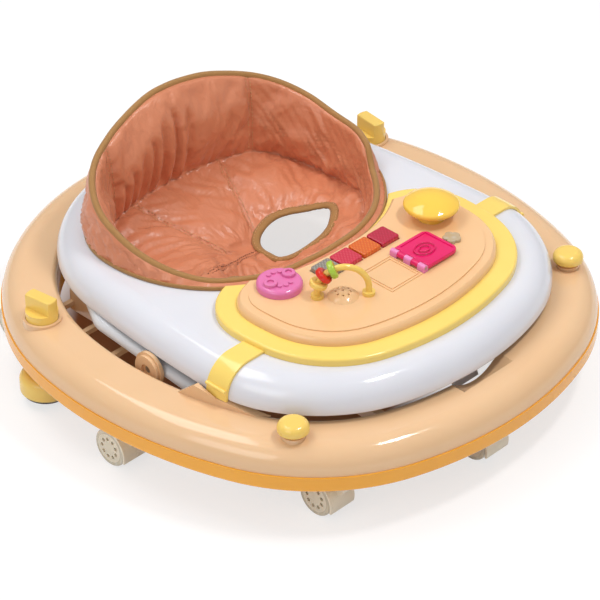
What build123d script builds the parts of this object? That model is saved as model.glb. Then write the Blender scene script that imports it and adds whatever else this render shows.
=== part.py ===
from build123d import *
from math import cos, radians, sin, tan
import os

# Baby walker, folded to its lowest height. Millimetres, +Z up, the child faces -Y and +X is the child's
# left. The origin is on the floor below the middle of the base.

# Walls and clearances
wall = 3.0
running_clearance = 0.05
slide_clearance = 0.3
moving_gap = 0.5
quarter_turn = 90.0

# Base outline: arcs that run smoothly into one another. The angles are how far the front arc, the two arcs
# of the side and the back arc turn, and the corner arcs turn the rest of each quarter
base_front = 330.5
base_back = 330.5
base_half_width = 311.0
base_widest_y = 7.0
base_front_corner_radius = 231.5
base_back_corner_radius = 280.0
base_arc_angles = (19.0, 22.0, 10.0, 34.0)

# Base ring: a lower pan with a rounded upper shell on it
rim_bottom = 59.0
rim_height = 19.0
rim_edge_round = 4.0
ring_width = 64.0
ring_height = 29.0
ring_shoulder = 26.0
ring_inner_round = 7.0
seam_step = 1.5

# Finger scoop in the front of the ring, and the ramps on its inner edge
scoop_width = 78.0
scoop_depth = 15.0
scoop_reach = 20.0
ramp_front_y = -169.0
ramp_rear_y = -70.0
ramp_rise = 17.0
ramp_fall = 22.0
ramp_thickness = 9.0

# Casters, placed along each half of the ring from its front (0) to its back (1)
caster_stations = (0.21, 0.47, 0.76)
wheel_radius = 22.0
wheel_width = 8.5
tyre_depth = 5.0
wheel_hole_count = 9
wheel_hole_radius = 2.2
wheel_hole_circle_radius = 11.0
axle_radius = 2.0
trail = 22.0
fork_web = 12.0
fork_axle_boss = 8.0
fork_head_radius = 11.0
hood_gap = 2.5
hood_thickness = 2.5
hood_lean = 10.0
hood_sweep = 95.0
swivel_flange_radius = 13.0
swivel_flange_height = 4.0
stem_radius = 4.0
stem_length = 28.0
socket_radius = 8.0
socket_flange = 3.0

# Rear brakes: a turn-knob on the ring lowers a padded foot to the floor
brake_station = 0.645
knob_radius = 18.0
knob_base_height = 21.0
knob_grip_height = 17.0
knob_grip_width = 15.0
knob_grip_angle = 82.0
knob_recess_depth = 12.0
collar_width = 3.0
collar_rise = 3.0
knob_stem_radius = 8.0
foot_radius = 29.5
foot_height = 24.0
foot_dome = 9.0
foot_lift = 10.0
foot_stem_radius = 5.0
pad_thickness = 3.0
pad_inset = 3.5

# Front stop buttons
button_station = 0.262
button_cap_radius = 17.0
button_cap_height = 11.0
button_travel = 4.5
button_stem_radius = 5.0
button_boss_radius = 13.0
button_boss_rise = 4.0
button_clip = 3.0

# Lifting frame: two bent tubes on each side that cross at a pivot, like scissors
tube_radius = 8.0
cross_y = -11.7
cross_z = 98.4
frame_reach = 160.0
frame_slope = 5.0
bend_radius = 20.0
end_bend_radius = 10.0
outer_arm_x = 220.0
outer_rear_x = 193.5
outer_step_length = 50.0
outer_bar_x = 150.0
inner_arm_x = 165.0
inner_bar_x = 125.0
lift_angle = 38.5
bolt_radius = 4.0
spacer_radius = 10.0
disc_radius = 20.0
disc_thickness = 8.0
disc_standoff = 2.5
disc_recess = 3.0
shoe_radius = 10.0
shoe_length = 6.5
rail_wall = 3.0
rib_height = 6.0
lug_x = 118.0
lug_width = 10.0
lug_radius = 14.0
clamp_x = 92.0
clamp_width = 16.0

# Upper tray
tray_front = 279.0
tray_back = 271.0
tray_half_width = 232.5
tray_widest_y = -110.0
tray_front_corner_radius = 183.0
tray_back_corner_radius = 196.0
tray_arc_angles = (18.0, 25.0, 7.0, 3.0)
tray_bottom = 116.0
tray_height = 34.0
tray_shoulder = 30.0
tray_edge_round = 2.5
opening_flange = 18.0

# Seat opening of the tray
opening_front = 52.8
opening_back = 212.0
opening_half_width = 175.3
opening_widest_y = 102.0
opening_front_corner_radius = 150.5
opening_back_corner_radius = 75.0
opening_arc_angles = (6.0, 37.0, 23.0, 21.0)

# Height lever under the front edge of the tray
lever_width = 36.0
lever_thickness = 5.0
lever_drop = 42.0
lever_y = -234.0
lever_z = 127.0
lever_lean = 17.0
lever_arm = 40.0
lever_pin_radius = 3.0
lever_barrel = 6.0
lever_lug = 5.0

# Toy bezel and toy panel
bezel_front = 242.0
bezel_back = 0.0
bezel_half_width = 181.0
bezel_widest_y = -92.0
bezel_front_corner_radius = 119.0
bezel_back_corner_radius = 67.0
bezel_arc_angles = (17.0, 7.0, 12.0, 19.0)
bezel_height = 9.0
bezel_round = 6.0
bezel_width = 23.0
bezel_rear_gap = 8.0
bezel_rear_width = 6.0
strap_y = -116.0
strap_width = 28.0
strap_thickness = 3.0
strap_ridge = 2.0
strap_ridge_drop = 21.0
panel_height = 20.0
panel_round = 9.0
panel_border = 13.0
panel_step = 1.5

# Toys on the panel
dial_x = -101.0
dial_y = -76.0
dial_radius = 25.0
dial_height = 9.0
dial_stem_radius = 4.0
dial_nub_radius = 7.5
dial_nub_reach = 13.5
dial_nub_height = 4.0
dial_bump_radius = 2.4
dial_bump_turns = (45.0, 225.0)
dial_bump_count = 3
key_count = 4
key_y = -91.0
key_pitch = 29.0
key_width = 27.0
key_depth = 26.0
key_proud = 2.5
key_travel = 2.5
key_flange = 1.5
hinge_x = 28.0
hinge_length = 50.0
hinge_middle_y = -144.0
hinge_radius = 3.6
hinge_rise = 5.0
hinge_pin_radius = 1.5
knuckle_count = 5
page_reach = 53.0
page_thickness = 4.5
page_corner = 8.0
page_rim = 4.0
page_recess = 1.0
pad_outlines = (2.0, 5.5)
pad_outline_width = 1.5
pad_outline_rise = 1.0
dome_x = 112.0
dome_y = -100.0
dome_radius = 34.0
dome_half_height = 13.0
dome_rim_round = 4.0
dome_neck_radius = 15.0
dome_travel = 3.5
arch_x = -65.5
arch_y = -135.5
arch_turn = -39.0
arch_radius = 27.5
arch_leg = 9.0
arch_tube = 3.5
arch_foot_radius = 7.0
arch_foot_height = 4.0
bead_radius = 10.0
bead_width = 7.0
bead_angles = (115.0, 139.0, 163.0)
speaker_radius = 17.0
speaker_dome = 7.0
speaker_hole_radius = 1.2
speaker_hole_reach = 8.0
speaker_hole_count = 8
lens_x = 95.0
lens_y = -146.0
lens_petal = 5.0
lens_petal_reach = 5.5
lens_height = 4.0
lens_petal_count = 5
sound_box_length = 120.0
sound_box_width = 60.0
sound_box_height = 9.0
sound_box_y = -150.0

# Seat: a padded band that stands in the opening, and a sling with two leg holes below it. Each level of
# the sling is its share of the drop and how far it is drawn in from the opening
band_bottom = 119.0
band_thickness = 11.0
band_gap = 3.0
band_ledge = 5.0
band_crown = 5.0
band_front_rise = 8.0
band_back_rise = 110.0
band_rise_start = 0.25
band_seam = 0.8
band_seam_station = 0.77
band_seam_reach = 0.15
band_steps = 12
sling_cloth = 3.0
sling_bottom = 86.0
sling_levels = ((0.0, 4.0), (0.45, 16.0), (0.82, 40.0), (1.0, 66.0))
leg_x = 66.0
leg_y = 62.0
leg_half_width = 42.0
leg_half_depth = 34.0

# Heights and reaches that follow from the sizes above
rim_top = rim_bottom + rim_height
ring_top = rim_top + ring_height
tray_top = tray_bottom + tray_height
panel_top = tray_top + panel_height
frame_rise = frame_reach * tan(radians(frame_slope))
frame_half = frame_reach / cos(radians(frame_slope))
frame_front_y = cross_y - frame_reach
frame_rear_y = cross_y + frame_reach
low_z = cross_z - frame_rise
high_z = cross_z + frame_rise
slide_travel = 2 * (frame_reach - frame_half * cos(radians(frame_slope + lift_angle)))
rail_start_y = frame_rear_y - slide_travel - shoe_radius - slide_clearance
rail_end_y = frame_rear_y + shoe_radius + slide_clearance
rail_half_slot = shoe_radius + slide_clearance
axle_height = wheel_radius
fork_top = rim_bottom - socket_flange - slide_clearance
panel_under = panel_top - panel_round

base_shape = (base_front, base_back, base_half_width, base_widest_y,
              base_front_corner_radius, base_back_corner_radius, base_arc_angles)
tray_shape = (tray_front, tray_back, tray_half_width, tray_widest_y,
              tray_front_corner_radius, tray_back_corner_radius, tray_arc_angles)
opening_shape = (opening_front, opening_back, opening_half_width, opening_widest_y,
                 opening_front_corner_radius, opening_back_corner_radius, opening_arc_angles)
bezel_shape = (bezel_front, bezel_back, bezel_half_width, bezel_widest_y,
               bezel_front_corner_radius, bezel_back_corner_radius, bezel_arc_angles)


def quarter_arcs(reach, half_width, corner, end_turn, side_turn, inset):
    """A quarter of an oval, inset evenly, as three points on each of its three arcs.

    X runs outwards from the middle line and Y from the widest place towards the end. The radii of the end
    arc and the side arc follow from the quarter's reach and width, so that the arcs meet smoothly.
    """
    end, side = radians(end_turn), radians(side_turn)
    across = half_width - corner * (cos(side) - sin(end))
    along = reach - corner * (cos(end) - sin(side))
    shared = sin(end) * sin(side) - (1 - cos(end)) * (1 - cos(side))
    end_radius = (across * sin(side) - along * (1 - cos(side))) / shared
    side_radius = (along * sin(end) - across * (1 - cos(end))) / shared
    end_centre = Vector(0, reach - end_radius)
    corner_centre = end_centre + Vector(sin(end), cos(end)) * (end_radius - corner)
    side_centre = Vector(half_width - side_radius, 0)
    arcs = []
    for centre, radius, first, last in (
        (end_centre, end_radius, 0, end),
        (corner_centre, corner, end, radians(quarter_turn) - side),
        (side_centre, side_radius, radians(quarter_turn) - side, radians(quarter_turn)),
    ):
        turns = (first, (first + last) / 2, last)
        arcs.append([centre + Vector(sin(turn), cos(turn)) * (radius - inset) for turn in turns])
    return arcs


def half_line(shape, inset=0.0):
    """The +X half of an oval, inset evenly, as a line from its front to its back."""
    front, back, half_width, widest_y, front_corner, back_corner, angles = shape
    front_turn, front_side_turn, back_side_turn, back_turn = angles
    front_arcs = quarter_arcs(front + widest_y, half_width, front_corner, front_turn, front_side_turn, inset)
    back_arcs = quarter_arcs(back - widest_y, half_width, back_corner, back_turn, back_side_turn, inset)
    with BuildLine(mode=Mode.PRIVATE) as half:
        for arc in front_arcs:
            ThreePointArc(*[(point.X, widest_y - point.Y) for point in arc])
        for arc in reversed(back_arcs):
            ThreePointArc(*[(point.X, widest_y + point.Y) for point in reversed(arc)])
    return half


def draw_oval(shape, inset=0.0, mode=Mode.ADD):
    """Adds the whole oval, inset evenly, to the sketch being drawn."""
    half = half_line(shape, inset)
    other = mirror(half.edges(), about=Plane.YZ, mode=Mode.PRIVATE)
    make_face(half.edges() + other.edges(), mode=mode)


# Places along the ring's middle line
ring_middle = half_line(base_shape, ring_width / 2).wire()
button_spot = ring_middle @ button_station
brake_spot = ring_middle @ brake_station
caster_spots = [ring_middle @ 0]
for station in caster_stations:
    spot = ring_middle @ station
    caster_spots.append(spot)
    caster_spots.append(Vector(-spot.X, spot.Y))
caster_spots.append(ring_middle @ 1)
both_sides = (-1, 1)

os.makedirs("parts", exist_ok=True)


# Base rim: the open-topped pan that carries the casters
with BuildPart() as base_rim:
    with BuildSketch(Plane.XY.offset(rim_bottom)):
        draw_oval(base_shape)
        draw_oval(base_shape, ring_width, mode=Mode.SUBTRACT)
    extrude(amount=rim_height)
    fillet(base_rim.faces().sort_by(Axis.Z)[0].outer_wire().edges(), rim_edge_round)
    with BuildSketch(Plane.XY.offset(rim_bottom + wall)):
        draw_oval(base_shape, wall)
        draw_oval(base_shape, ring_width - wall, mode=Mode.SUBTRACT)
    extrude(amount=rim_height, mode=Mode.SUBTRACT)
    with BuildSketch(Plane.XY.offset(rim_bottom)):
        with Locations(*caster_spots):
            Circle(socket_radius + running_clearance)
        with Locations(*[(side * brake_spot.X, brake_spot.Y) for side in both_sides]):
            Circle(foot_stem_radius + slide_clearance)
    extrude(amount=wall, mode=Mode.SUBTRACT)
base_rim.part.label = "base_rim"
export_step(base_rim.part, "parts/base_rim.step")


# Base ring: the hollow upper shell, with collars, bosses, ramps, frame lugs and slide rails
with BuildPart() as ring_outside:
    with BuildSketch(Plane.XY.offset(rim_top)):
        draw_oval(base_shape, seam_step)
        draw_oval(base_shape, ring_width, mode=Mode.SUBTRACT)
    extrude(amount=ring_height)
    crest = ring_outside.faces().sort_by(Axis.Z)[-1]
    fillet(crest.outer_wire().edges(), ring_shoulder)
    crest = ring_outside.faces().sort_by(Axis.Z)[-1]
    fillet(crest.inner_wires()[0].edges(), ring_inner_round)

with BuildPart() as ring_hollow:
    with BuildSketch(Plane.XY.offset(rim_top)):
        draw_oval(base_shape, seam_step + wall)
        draw_oval(base_shape, ring_width - wall, mode=Mode.SUBTRACT)
    extrude(amount=ring_height - wall)
    crest = ring_hollow.faces().sort_by(Axis.Z)[-1]
    fillet(crest.outer_wire().edges(), ring_shoulder - wall)
    crest = ring_hollow.faces().sort_by(Axis.Z)[-1]
    fillet(crest.inner_wires()[0].edges(), ring_inner_round - wall)
    # Solid stock is left for the finger scoop
    with Locations((0, ring_width - base_front, ring_top)):
        Box(scoop_width + 2 * wall, 2 * (scoop_reach + wall), 2 * (scoop_depth + wall), mode=Mode.SUBTRACT)

# Ramps that stand on the inner edge of the ring beside the front of the frame
with BuildPart() as ramps:
    with BuildSketch(Plane.XY.offset(rim_top)):
        draw_oval(base_shape, ring_width - ramp_thickness)
        draw_oval(base_shape, ring_width, mode=Mode.SUBTRACT)
    extrude(amount=ring_height + ramp_rise)
    with BuildSketch(Plane.YZ):
        with BuildLine():
            Polyline(
                (ramp_front_y, rim_top),
                (ramp_front_y, ring_top - wall / 2),
                (ramp_rear_y - ramp_fall, ring_top + ramp_rise),
                (ramp_rear_y, ring_top - wall / 2),
                (ramp_rear_y, rim_top),
                close=True,
            )
        make_face()
    extrude(amount=base_half_width, both=True, mode=Mode.INTERSECT)
    with BuildSketch(Plane.XY.offset(tray_bottom - moving_gap)):
        draw_oval(tray_shape, -strap_thickness - strap_ridge - moving_gap)
    extrude(amount=tray_height, mode=Mode.SUBTRACT)

# Slide rails on ribs, and lugs for the low front bar of the outer frame, cut to the ring's inner wall
with BuildPart() as inner_ribs:
    rail_inner_x = inner_arm_x + tube_radius + shoe_radius
    rail_outer_x = rail_inner_x + shoe_length + rail_wall
    rail_middle_y = (rail_start_y + rail_end_y) / 2
    rail_length = rail_end_y - rail_start_y + 2 * rail_wall
    for side in both_sides:
        with Locations((side * (rail_inner_x + rail_outer_x) / 2, rail_middle_y, low_z)):
            Box(rail_outer_x - rail_inner_x, rail_length, 2 * (rail_half_slot + rail_wall))
    with BuildSketch(Plane.XY.offset(rim_top)):
        with GridLocations(0, rail_length / 2 - rail_wall, 1, 3):
            with Locations((0, rail_middle_y)):
                Rectangle(2 * base_half_width, 2 * rail_wall)
        Rectangle(2 * rail_outer_x - rail_wall, 2 * base_back, mode=Mode.SUBTRACT)
    extrude(amount=rib_height)
    for side in both_sides:
        with BuildSketch(Plane.YZ.offset(side * lug_x - lug_width / 2)):
            with Locations((frame_front_y, low_z)):
                Circle(lug_radius)
                Rectangle(base_front, lug_radius, align=(Align.MAX, Align.MIN))
        extrude(amount=lug_width)
    with BuildSketch(Plane.YZ):
        with Locations((frame_front_y, low_z)):
            Circle(tube_radius + running_clearance)
    extrude(amount=2 * lug_x, both=True, mode=Mode.SUBTRACT)
    with BuildSketch(Plane.XY):
        draw_oval(base_shape, ring_width - wall / 2)
    extrude(amount=ring_top, mode=Mode.INTERSECT)
    for side in both_sides:
        slot_depth = rail_outer_x - rail_inner_x - rail_wall
        with Locations((side * (rail_inner_x + slot_depth / 2), rail_middle_y, low_z)):
            Box(slot_depth, rail_end_y - rail_start_y, 2 * rail_half_slot, mode=Mode.SUBTRACT)

with BuildPart() as base_ring:
    add(ring_outside.part)
    add(ring_hollow.part, mode=Mode.SUBTRACT)
    scoop_radius = (scoop_width**2 / 4 + scoop_depth**2) / (2 * scoop_depth)
    with BuildSketch(Plane.XZ.offset(base_front - ring_width - scoop_reach)):
        with Locations((0, ring_top - scoop_depth + scoop_radius)):
            Circle(scoop_radius)
    extrude(amount=2 * scoop_reach, mode=Mode.SUBTRACT)
    add(ramps.part)
    add(inner_ribs.part)
    # Recessed collars for the brake knobs, and bosses for the stop buttons
    for side in both_sides:
        collar_floor = ring_top + collar_rise - knob_recess_depth
        with BuildSketch(Plane.XY.offset(collar_floor - wall)):
            with Locations((side * brake_spot.X, brake_spot.Y)):
                Circle(knob_radius + moving_gap + collar_width)
        extrude(amount=knob_recess_depth + wall)
        with BuildSketch(Plane.XY.offset(collar_floor)):
            with Locations((side * brake_spot.X, brake_spot.Y)):
                Circle(knob_radius + moving_gap)
        extrude(amount=knob_recess_depth + ring_height, mode=Mode.SUBTRACT)
        with BuildSketch(Plane.XY.offset(collar_floor - wall)):
            with Locations((side * brake_spot.X, brake_spot.Y)):
                Circle(knob_stem_radius + running_clearance)
        extrude(amount=knob_recess_depth, mode=Mode.SUBTRACT)
        with BuildSketch(Plane.XY.offset(ring_top - 2 * button_boss_rise)):
            with Locations((side * button_spot.X, button_spot.Y)):
                Circle(button_boss_radius)
        extrude(amount=3 * button_boss_rise)
        with BuildSketch(Plane.XY.offset(rim_top)):
            with Locations((side * button_spot.X, button_spot.Y)):
                Circle(button_stem_radius + running_clearance)
        extrude(amount=ring_height + button_boss_rise, mode=Mode.SUBTRACT)
base_ring.part.label = "base_ring"
export_step(base_ring.part, "parts/base_ring.step")


# Caster sockets: flanged blind bushes in the floor of the pan
socket_top = fork_top + stem_length + wall
with BuildPart() as caster_sockets:
    with BuildSketch(Plane.XY.offset(rim_bottom - socket_flange)):
        with Locations(*caster_spots):
            Circle(swivel_flange_radius)
    extrude(amount=socket_flange)
    with BuildSketch(Plane.XY.offset(rim_bottom)):
        with Locations(*caster_spots):
            Circle(socket_radius)
    extrude(amount=socket_top - rim_bottom)
    with BuildSketch(Plane.XY.offset(rim_bottom - socket_flange)):
        with Locations(*caster_spots):
            Circle(stem_radius + running_clearance)
    extrude(amount=socket_top - wall / 2 - rim_bottom + socket_flange, mode=Mode.SUBTRACT)
caster_sockets.part.label = "caster_sockets"
export_step(caster_sockets.part, "parts/caster_sockets.step")


# Casters: a hooded fork on a swivel stem, with a pair of wheels behind the swivel axis
for number, spot in enumerate(caster_spots, start=1):
    # The wheels trail towards the back, and those of the rear middle caster towards the front
    facing = 1 if number < len(caster_spots) else -1
    axle_y = spot.Y + facing * trail
    side_plane = Plane.YZ.offset(spot.X)
    with BuildPart() as caster_fork:
        with BuildSketch(side_plane):
            with Locations((axle_y, axle_height)):
                Circle(fork_axle_boss)
            with Locations((spot.Y, fork_top - fork_head_radius)):
                Circle(fork_head_radius)
            make_hull()
        extrude(amount=fork_web / 2, both=True)
        with BuildSketch(side_plane):
            hood_inner = wheel_radius + hood_gap
            with BuildLine():
                start = quarter_turn + facing * hood_lean
                sweep_turn = facing * hood_sweep
                low_arc = CenterArc((axle_y, axle_height), hood_inner, start, sweep_turn)
                high_arc = CenterArc((axle_y, axle_height), hood_inner + hood_thickness, start, sweep_turn)
                Line(low_arc @ 0, high_arc @ 0)
                Line(low_arc @ 1, high_arc @ 1)
            make_face()
        extrude(amount=fork_web / 2 + moving_gap + wheel_width + hood_thickness, both=True)
        with BuildSketch(Plane.XY.offset(fork_top)):
            with Locations(spot):
                Circle(swivel_flange_radius)
        extrude(amount=-swivel_flange_height)
        with BuildSketch(Plane.XY.offset(fork_top)):
            with Locations(spot):
                Circle(stem_radius)
        extrude(amount=stem_length)
        with BuildSketch(side_plane):
            with Locations((axle_y, axle_height)):
                Circle(axle_radius + running_clearance)
        extrude(amount=fork_web, both=True, mode=Mode.SUBTRACT)
        # The wheels turn inside the hood, so nothing but the web reaches in between them
        for side in both_sides:
            with BuildSketch(side_plane.offset(side * fork_web / 2)):
                with Locations((axle_y, axle_height)):
                    Circle(hood_inner)
            extrude(amount=side * (wheel_width + 2 * moving_gap), mode=Mode.SUBTRACT)
    caster_fork.part.label = f"caster_fork_{number}"
    export_step(caster_fork.part, f"parts/caster_fork_{number}.step")

    hub_radius = wheel_radius - tyre_depth
    wheel_inside = fork_web / 2 + moving_gap
    with BuildPart() as wheel_discs:
        for side in both_sides:
            with BuildSketch(side_plane.offset(side * wheel_inside)):
                with Locations((axle_y, axle_height)):
                    Circle(hub_radius)
                    Circle(axle_radius, mode=Mode.SUBTRACT)
                    with PolarLocations(wheel_hole_circle_radius, wheel_hole_count):
                        Circle(wheel_hole_radius, mode=Mode.SUBTRACT)
            extrude(amount=side * wheel_width)
    with BuildPart() as wheel_tyres:
        for side in both_sides:
            with BuildSketch(side_plane.offset(side * wheel_inside)):
                with Locations((axle_y, axle_height)):
                    Circle(wheel_radius)
                    Circle(hub_radius, mode=Mode.SUBTRACT)
            extrude(amount=side * wheel_width)
        fillet(wheel_tyres.edges().filter_by(GeomType.CIRCLE).sort_by(SortBy.RADIUS)[-4:], tyre_depth / 2)
    with BuildPart() as wheel_axle:
        with BuildSketch(side_plane):
            with Locations((axle_y, axle_height)):
                Circle(axle_radius)
        extrude(amount=wheel_inside + wheel_width, both=True)
    pieces = wheel_discs.part.solids() + wheel_tyres.part.solids() + wheel_axle.part.solids()
    caster_wheels = Compound(label=f"caster_wheels_{number}", children=list(pieces))
    export_step(caster_wheels, f"parts/caster_wheels_{number}.step")


# Rear brakes
for side, name in zip(both_sides, ("right", "left")):
    place = Vector(side * brake_spot.X, brake_spot.Y)
    knob_floor = ring_top + collar_rise - knob_recess_depth + slide_clearance
    knob_step = knob_floor + knob_base_height
    with BuildPart() as brake_knob:
        with BuildSketch(Plane.XY.offset(knob_floor)):
            with Locations(place):
                Circle(knob_radius)
        extrude(amount=knob_base_height)
        with BuildSketch(Plane.XY.offset(knob_step)):
            with Locations(Location(place, side * knob_grip_angle)):
                Rectangle(2 * knob_radius, knob_grip_width)
            with Locations(place):
                Circle(knob_radius, mode=Mode.INTERSECT)
        extrude(amount=knob_grip_height)
        fillet(brake_knob.faces().sort_by(Axis.Z)[-1].edges(), wall / 2)
        with BuildSketch(Plane.XY.offset(rim_bottom + 2 * wall)):
            with Locations(place):
                Circle(knob_stem_radius)
        extrude(amount=knob_floor - rim_bottom - 2 * wall)
        with BuildSketch(Plane.XY.offset(rim_bottom)):
            with Locations(place):
                Circle(foot_stem_radius + running_clearance)
        extrude(amount=knob_step - rim_bottom, mode=Mode.SUBTRACT)
    brake_knob.part.label = f"brake_knob_{name}"
    export_step(brake_knob.part, f"parts/brake_knob_{name}.step")

    foot_bottom = foot_lift + pad_thickness
    with BuildPart() as brake_foot:
        with BuildSketch(Plane.XY.offset(foot_bottom)):
            with Locations(place):
                Circle(foot_radius)
        extrude(amount=foot_height)
        fillet(brake_foot.faces().sort_by(Axis.Z)[-1].edges(), foot_dome)
        fillet(brake_foot.faces().sort_by(Axis.Z)[0].edges(), wall)
        with BuildSketch(Plane.XY.offset(foot_bottom)):
            with Locations(place):
                Circle(foot_stem_radius)
        extrude(amount=knob_step - wall - foot_bottom)
    brake_foot.part.label = f"brake_foot_{name}"
    export_step(brake_foot.part, f"parts/brake_foot_{name}.step")

    with BuildPart() as brake_pad:
        with BuildSketch(Plane.XY.offset(foot_lift)):
            with Locations(place):
                Circle(foot_radius - pad_inset)
        extrude(amount=pad_thickness)
    brake_pad.part.label = f"brake_pad_{name}"
    export_step(brake_pad.part, f"parts/brake_pad_{name}.step")

    # Front stop button: a mushroom cap on a clipped stem
    cap_bottom = ring_top + button_boss_rise + button_travel + moving_gap
    clip_top = ring_top - 2 * button_boss_rise - slide_clearance
    place = Vector(side * button_spot.X, button_spot.Y)
    with BuildPart() as stop_button:
        with BuildSketch(Plane.XY.offset(cap_bottom)):
            with Locations(place):
                Circle(button_cap_radius)
        extrude(amount=button_cap_height)
        fillet(stop_button.faces().sort_by(Axis.Z)[-1].edges(), button_cap_height - wall)
        with BuildSketch(Plane.XY.offset(clip_top)):
            with Locations(place):
                Circle(button_stem_radius)
        extrude(amount=cap_bottom - clip_top)
        with BuildSketch(Plane.XY.offset(clip_top)):
            with Locations(place):
                Circle(button_stem_radius + button_clip)
        extrude(amount=-button_clip)
    stop_button.part.label = f"stop_button_{name}"
    export_step(stop_button.part, f"parts/stop_button_{name}.step")


# Outer frame: a tube that runs from the low front bar, past the crossing, to its rear slide ends
outer_plane = Plane((0, cross_y, cross_z), x_dir=(1, 0, 0),
                    z_dir=(0, -sin(radians(frame_slope)), cos(radians(frame_slope))))
outer_end_x = outer_rear_x - end_bend_radius - shoe_length
tray_rail_x = outer_end_x - slide_clearance - rail_wall
tray_rail_edge_x = outer_rear_x - tube_radius - moving_gap
outer_half_path = [
    (outer_end_x, frame_half),
    (outer_rear_x, frame_half),
    (outer_rear_x, frame_half - bend_radius),
    (outer_arm_x, frame_half - bend_radius - outer_step_length),
    (outer_arm_x, -frame_half / 2 + bend_radius / 2),
    (outer_bar_x, -frame_half),
]
outer_path_points = outer_half_path + [(-x, y) for x, y in reversed(outer_half_path)]
with BuildPart() as outer_frame:
    with BuildLine(outer_plane) as outer_path:
        bends = [end_bend_radius] + [bend_radius] * (len(outer_path_points) - 4) + [end_bend_radius]
        FilletPolyline(*outer_path_points, radius=bends)
    with BuildSketch(Plane(outer_path.wire() @ 0, z_dir=outer_path.wire() % 0)):
        Circle(tube_radius)
        Circle(tube_radius - wall / 2, mode=Mode.SUBTRACT)
    sweep(path=outer_path.wire())
    with BuildSketch(Plane.YZ):
        with Locations((cross_y, cross_z)):
            Circle(bolt_radius)
    extrude(amount=base_half_width, both=True, mode=Mode.SUBTRACT)
outer_frame.part.label = "outer_frame"
export_step(outer_frame.part, "parts/outer_frame.step")

# Inner frame: the same, from its high front bar to rear ends that turn outwards to the base rails
inner_plane = Plane((0, cross_y, cross_z), x_dir=(1, 0, 0),
                    z_dir=(0, sin(radians(frame_slope)), cos(radians(frame_slope))))
inner_end_x = rail_outer_x - rail_wall - slide_clearance
inner_half_path = [
    (inner_end_x, frame_half),
    (inner_arm_x, frame_half),
    (inner_arm_x, -frame_half / 2 - bend_radius),
    (inner_bar_x, -frame_half),
]
inner_path_points = inner_half_path + [(-x, y) for x, y in reversed(inner_half_path)]
with BuildPart() as inner_frame:
    with BuildLine(inner_plane) as inner_path:
        bends = [end_bend_radius] + [bend_radius] * (len(inner_path_points) - 4) + [end_bend_radius]
        FilletPolyline(*inner_path_points, radius=bends)
    with BuildSketch(Plane(inner_path.wire() @ 0, z_dir=inner_path.wire() % 0)):
        Circle(tube_radius)
        Circle(tube_radius - wall / 2, mode=Mode.SUBTRACT)
    sweep(path=inner_path.wire())
    with BuildSketch(Plane.YZ):
        with Locations((cross_y, cross_z)):
            Circle(bolt_radius + running_clearance)
    extrude(amount=base_half_width, both=True, mode=Mode.SUBTRACT)
inner_frame.part.label = "inner_frame"
export_step(inner_frame.part, "parts/inner_frame.step")

# Slide shoes on the rear ends of both frames
for name, end_x, height, grow in (
    ("outer_shoes", outer_end_x, high_z, 1),
    ("inner_shoes", inner_end_x, low_z, -1),
):
    with BuildPart() as shoes:
        for side in both_sides:
            with BuildSketch(Plane.YZ.offset(side * end_x)):
                with Locations((frame_rear_y, height)):
                    Circle(shoe_radius)
                    Circle(tube_radius, mode=Mode.SUBTRACT)
            extrude(amount=side * grow * (shoe_length - slide_clearance))
    shoes.part.label = name
    export_step(shoes.part, f"parts/{name}.step")

# Pivot bolts with their spacers, and the stepped discs that cap them outside
disc_x = outer_arm_x + tube_radius + disc_standoff
with BuildPart() as pivot_bolts:
    for side in both_sides:
        with BuildSketch(Plane.YZ.offset(side * (inner_arm_x - tube_radius))):
            with Locations((cross_y, cross_z)):
                Circle(bolt_radius)
        extrude(amount=side * (disc_x + disc_thickness - disc_recess - inner_arm_x + tube_radius))
        with BuildSketch(Plane.YZ.offset(side * (outer_arm_x + tube_radius))):
            with Locations((cross_y, cross_z)):
                Circle(spacer_radius)
                Circle(bolt_radius, mode=Mode.SUBTRACT)
        extrude(amount=side * disc_standoff)
        with BuildSketch(Plane.YZ.offset(side * (inner_arm_x + tube_radius + slide_clearance))):
            with Locations((cross_y, cross_z)):
                Circle(spacer_radius)
        extrude(amount=side * (outer_arm_x - inner_arm_x - 2 * tube_radius - slide_clearance))
        with BuildSketch(Plane.YZ.offset(side * (inner_arm_x - tube_radius - slide_clearance))):
            with Locations((cross_y, cross_z)):
                Circle(spacer_radius)
        extrude(amount=-side * wall)
        with BuildSketch(Plane.YZ.offset(side * (inner_arm_x - tube_radius - wall))):
            with Locations((cross_y, cross_z)):
                Circle(bolt_radius)
        extrude(amount=side * 2 * wall)
pivot_bolts.part.label = "pivot_bolts"
export_step(pivot_bolts.part, "parts/pivot_bolts.step")

with BuildPart() as pivot_discs:
    for side in both_sides:
        with BuildSketch(Plane.YZ.offset(side * disc_x)):
            with Locations((cross_y, cross_z)):
                Circle(disc_radius)
        extrude(amount=side * disc_thickness / 2)
        with BuildSketch(Plane.YZ.offset(side * (disc_x + disc_thickness / 2))):
            with Locations((cross_y, cross_z)):
                Circle(disc_radius - wall)
        extrude(amount=side * disc_thickness / 2)
        with BuildSketch(Plane.YZ.offset(side * (disc_x + disc_thickness - disc_recess))):
            with Locations((cross_y, cross_z)):
                Circle(bolt_radius + wall)
        extrude(amount=side * disc_recess, mode=Mode.SUBTRACT)
        with BuildSketch(Plane.YZ.offset(side * disc_x)):
            with Locations((cross_y, cross_z)):
                Circle(bolt_radius)
        extrude(amount=side * disc_thickness, mode=Mode.SUBTRACT)
pivot_discs.part.label = "pivot_discs"
export_step(pivot_discs.part, "parts/pivot_discs.step")


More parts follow.
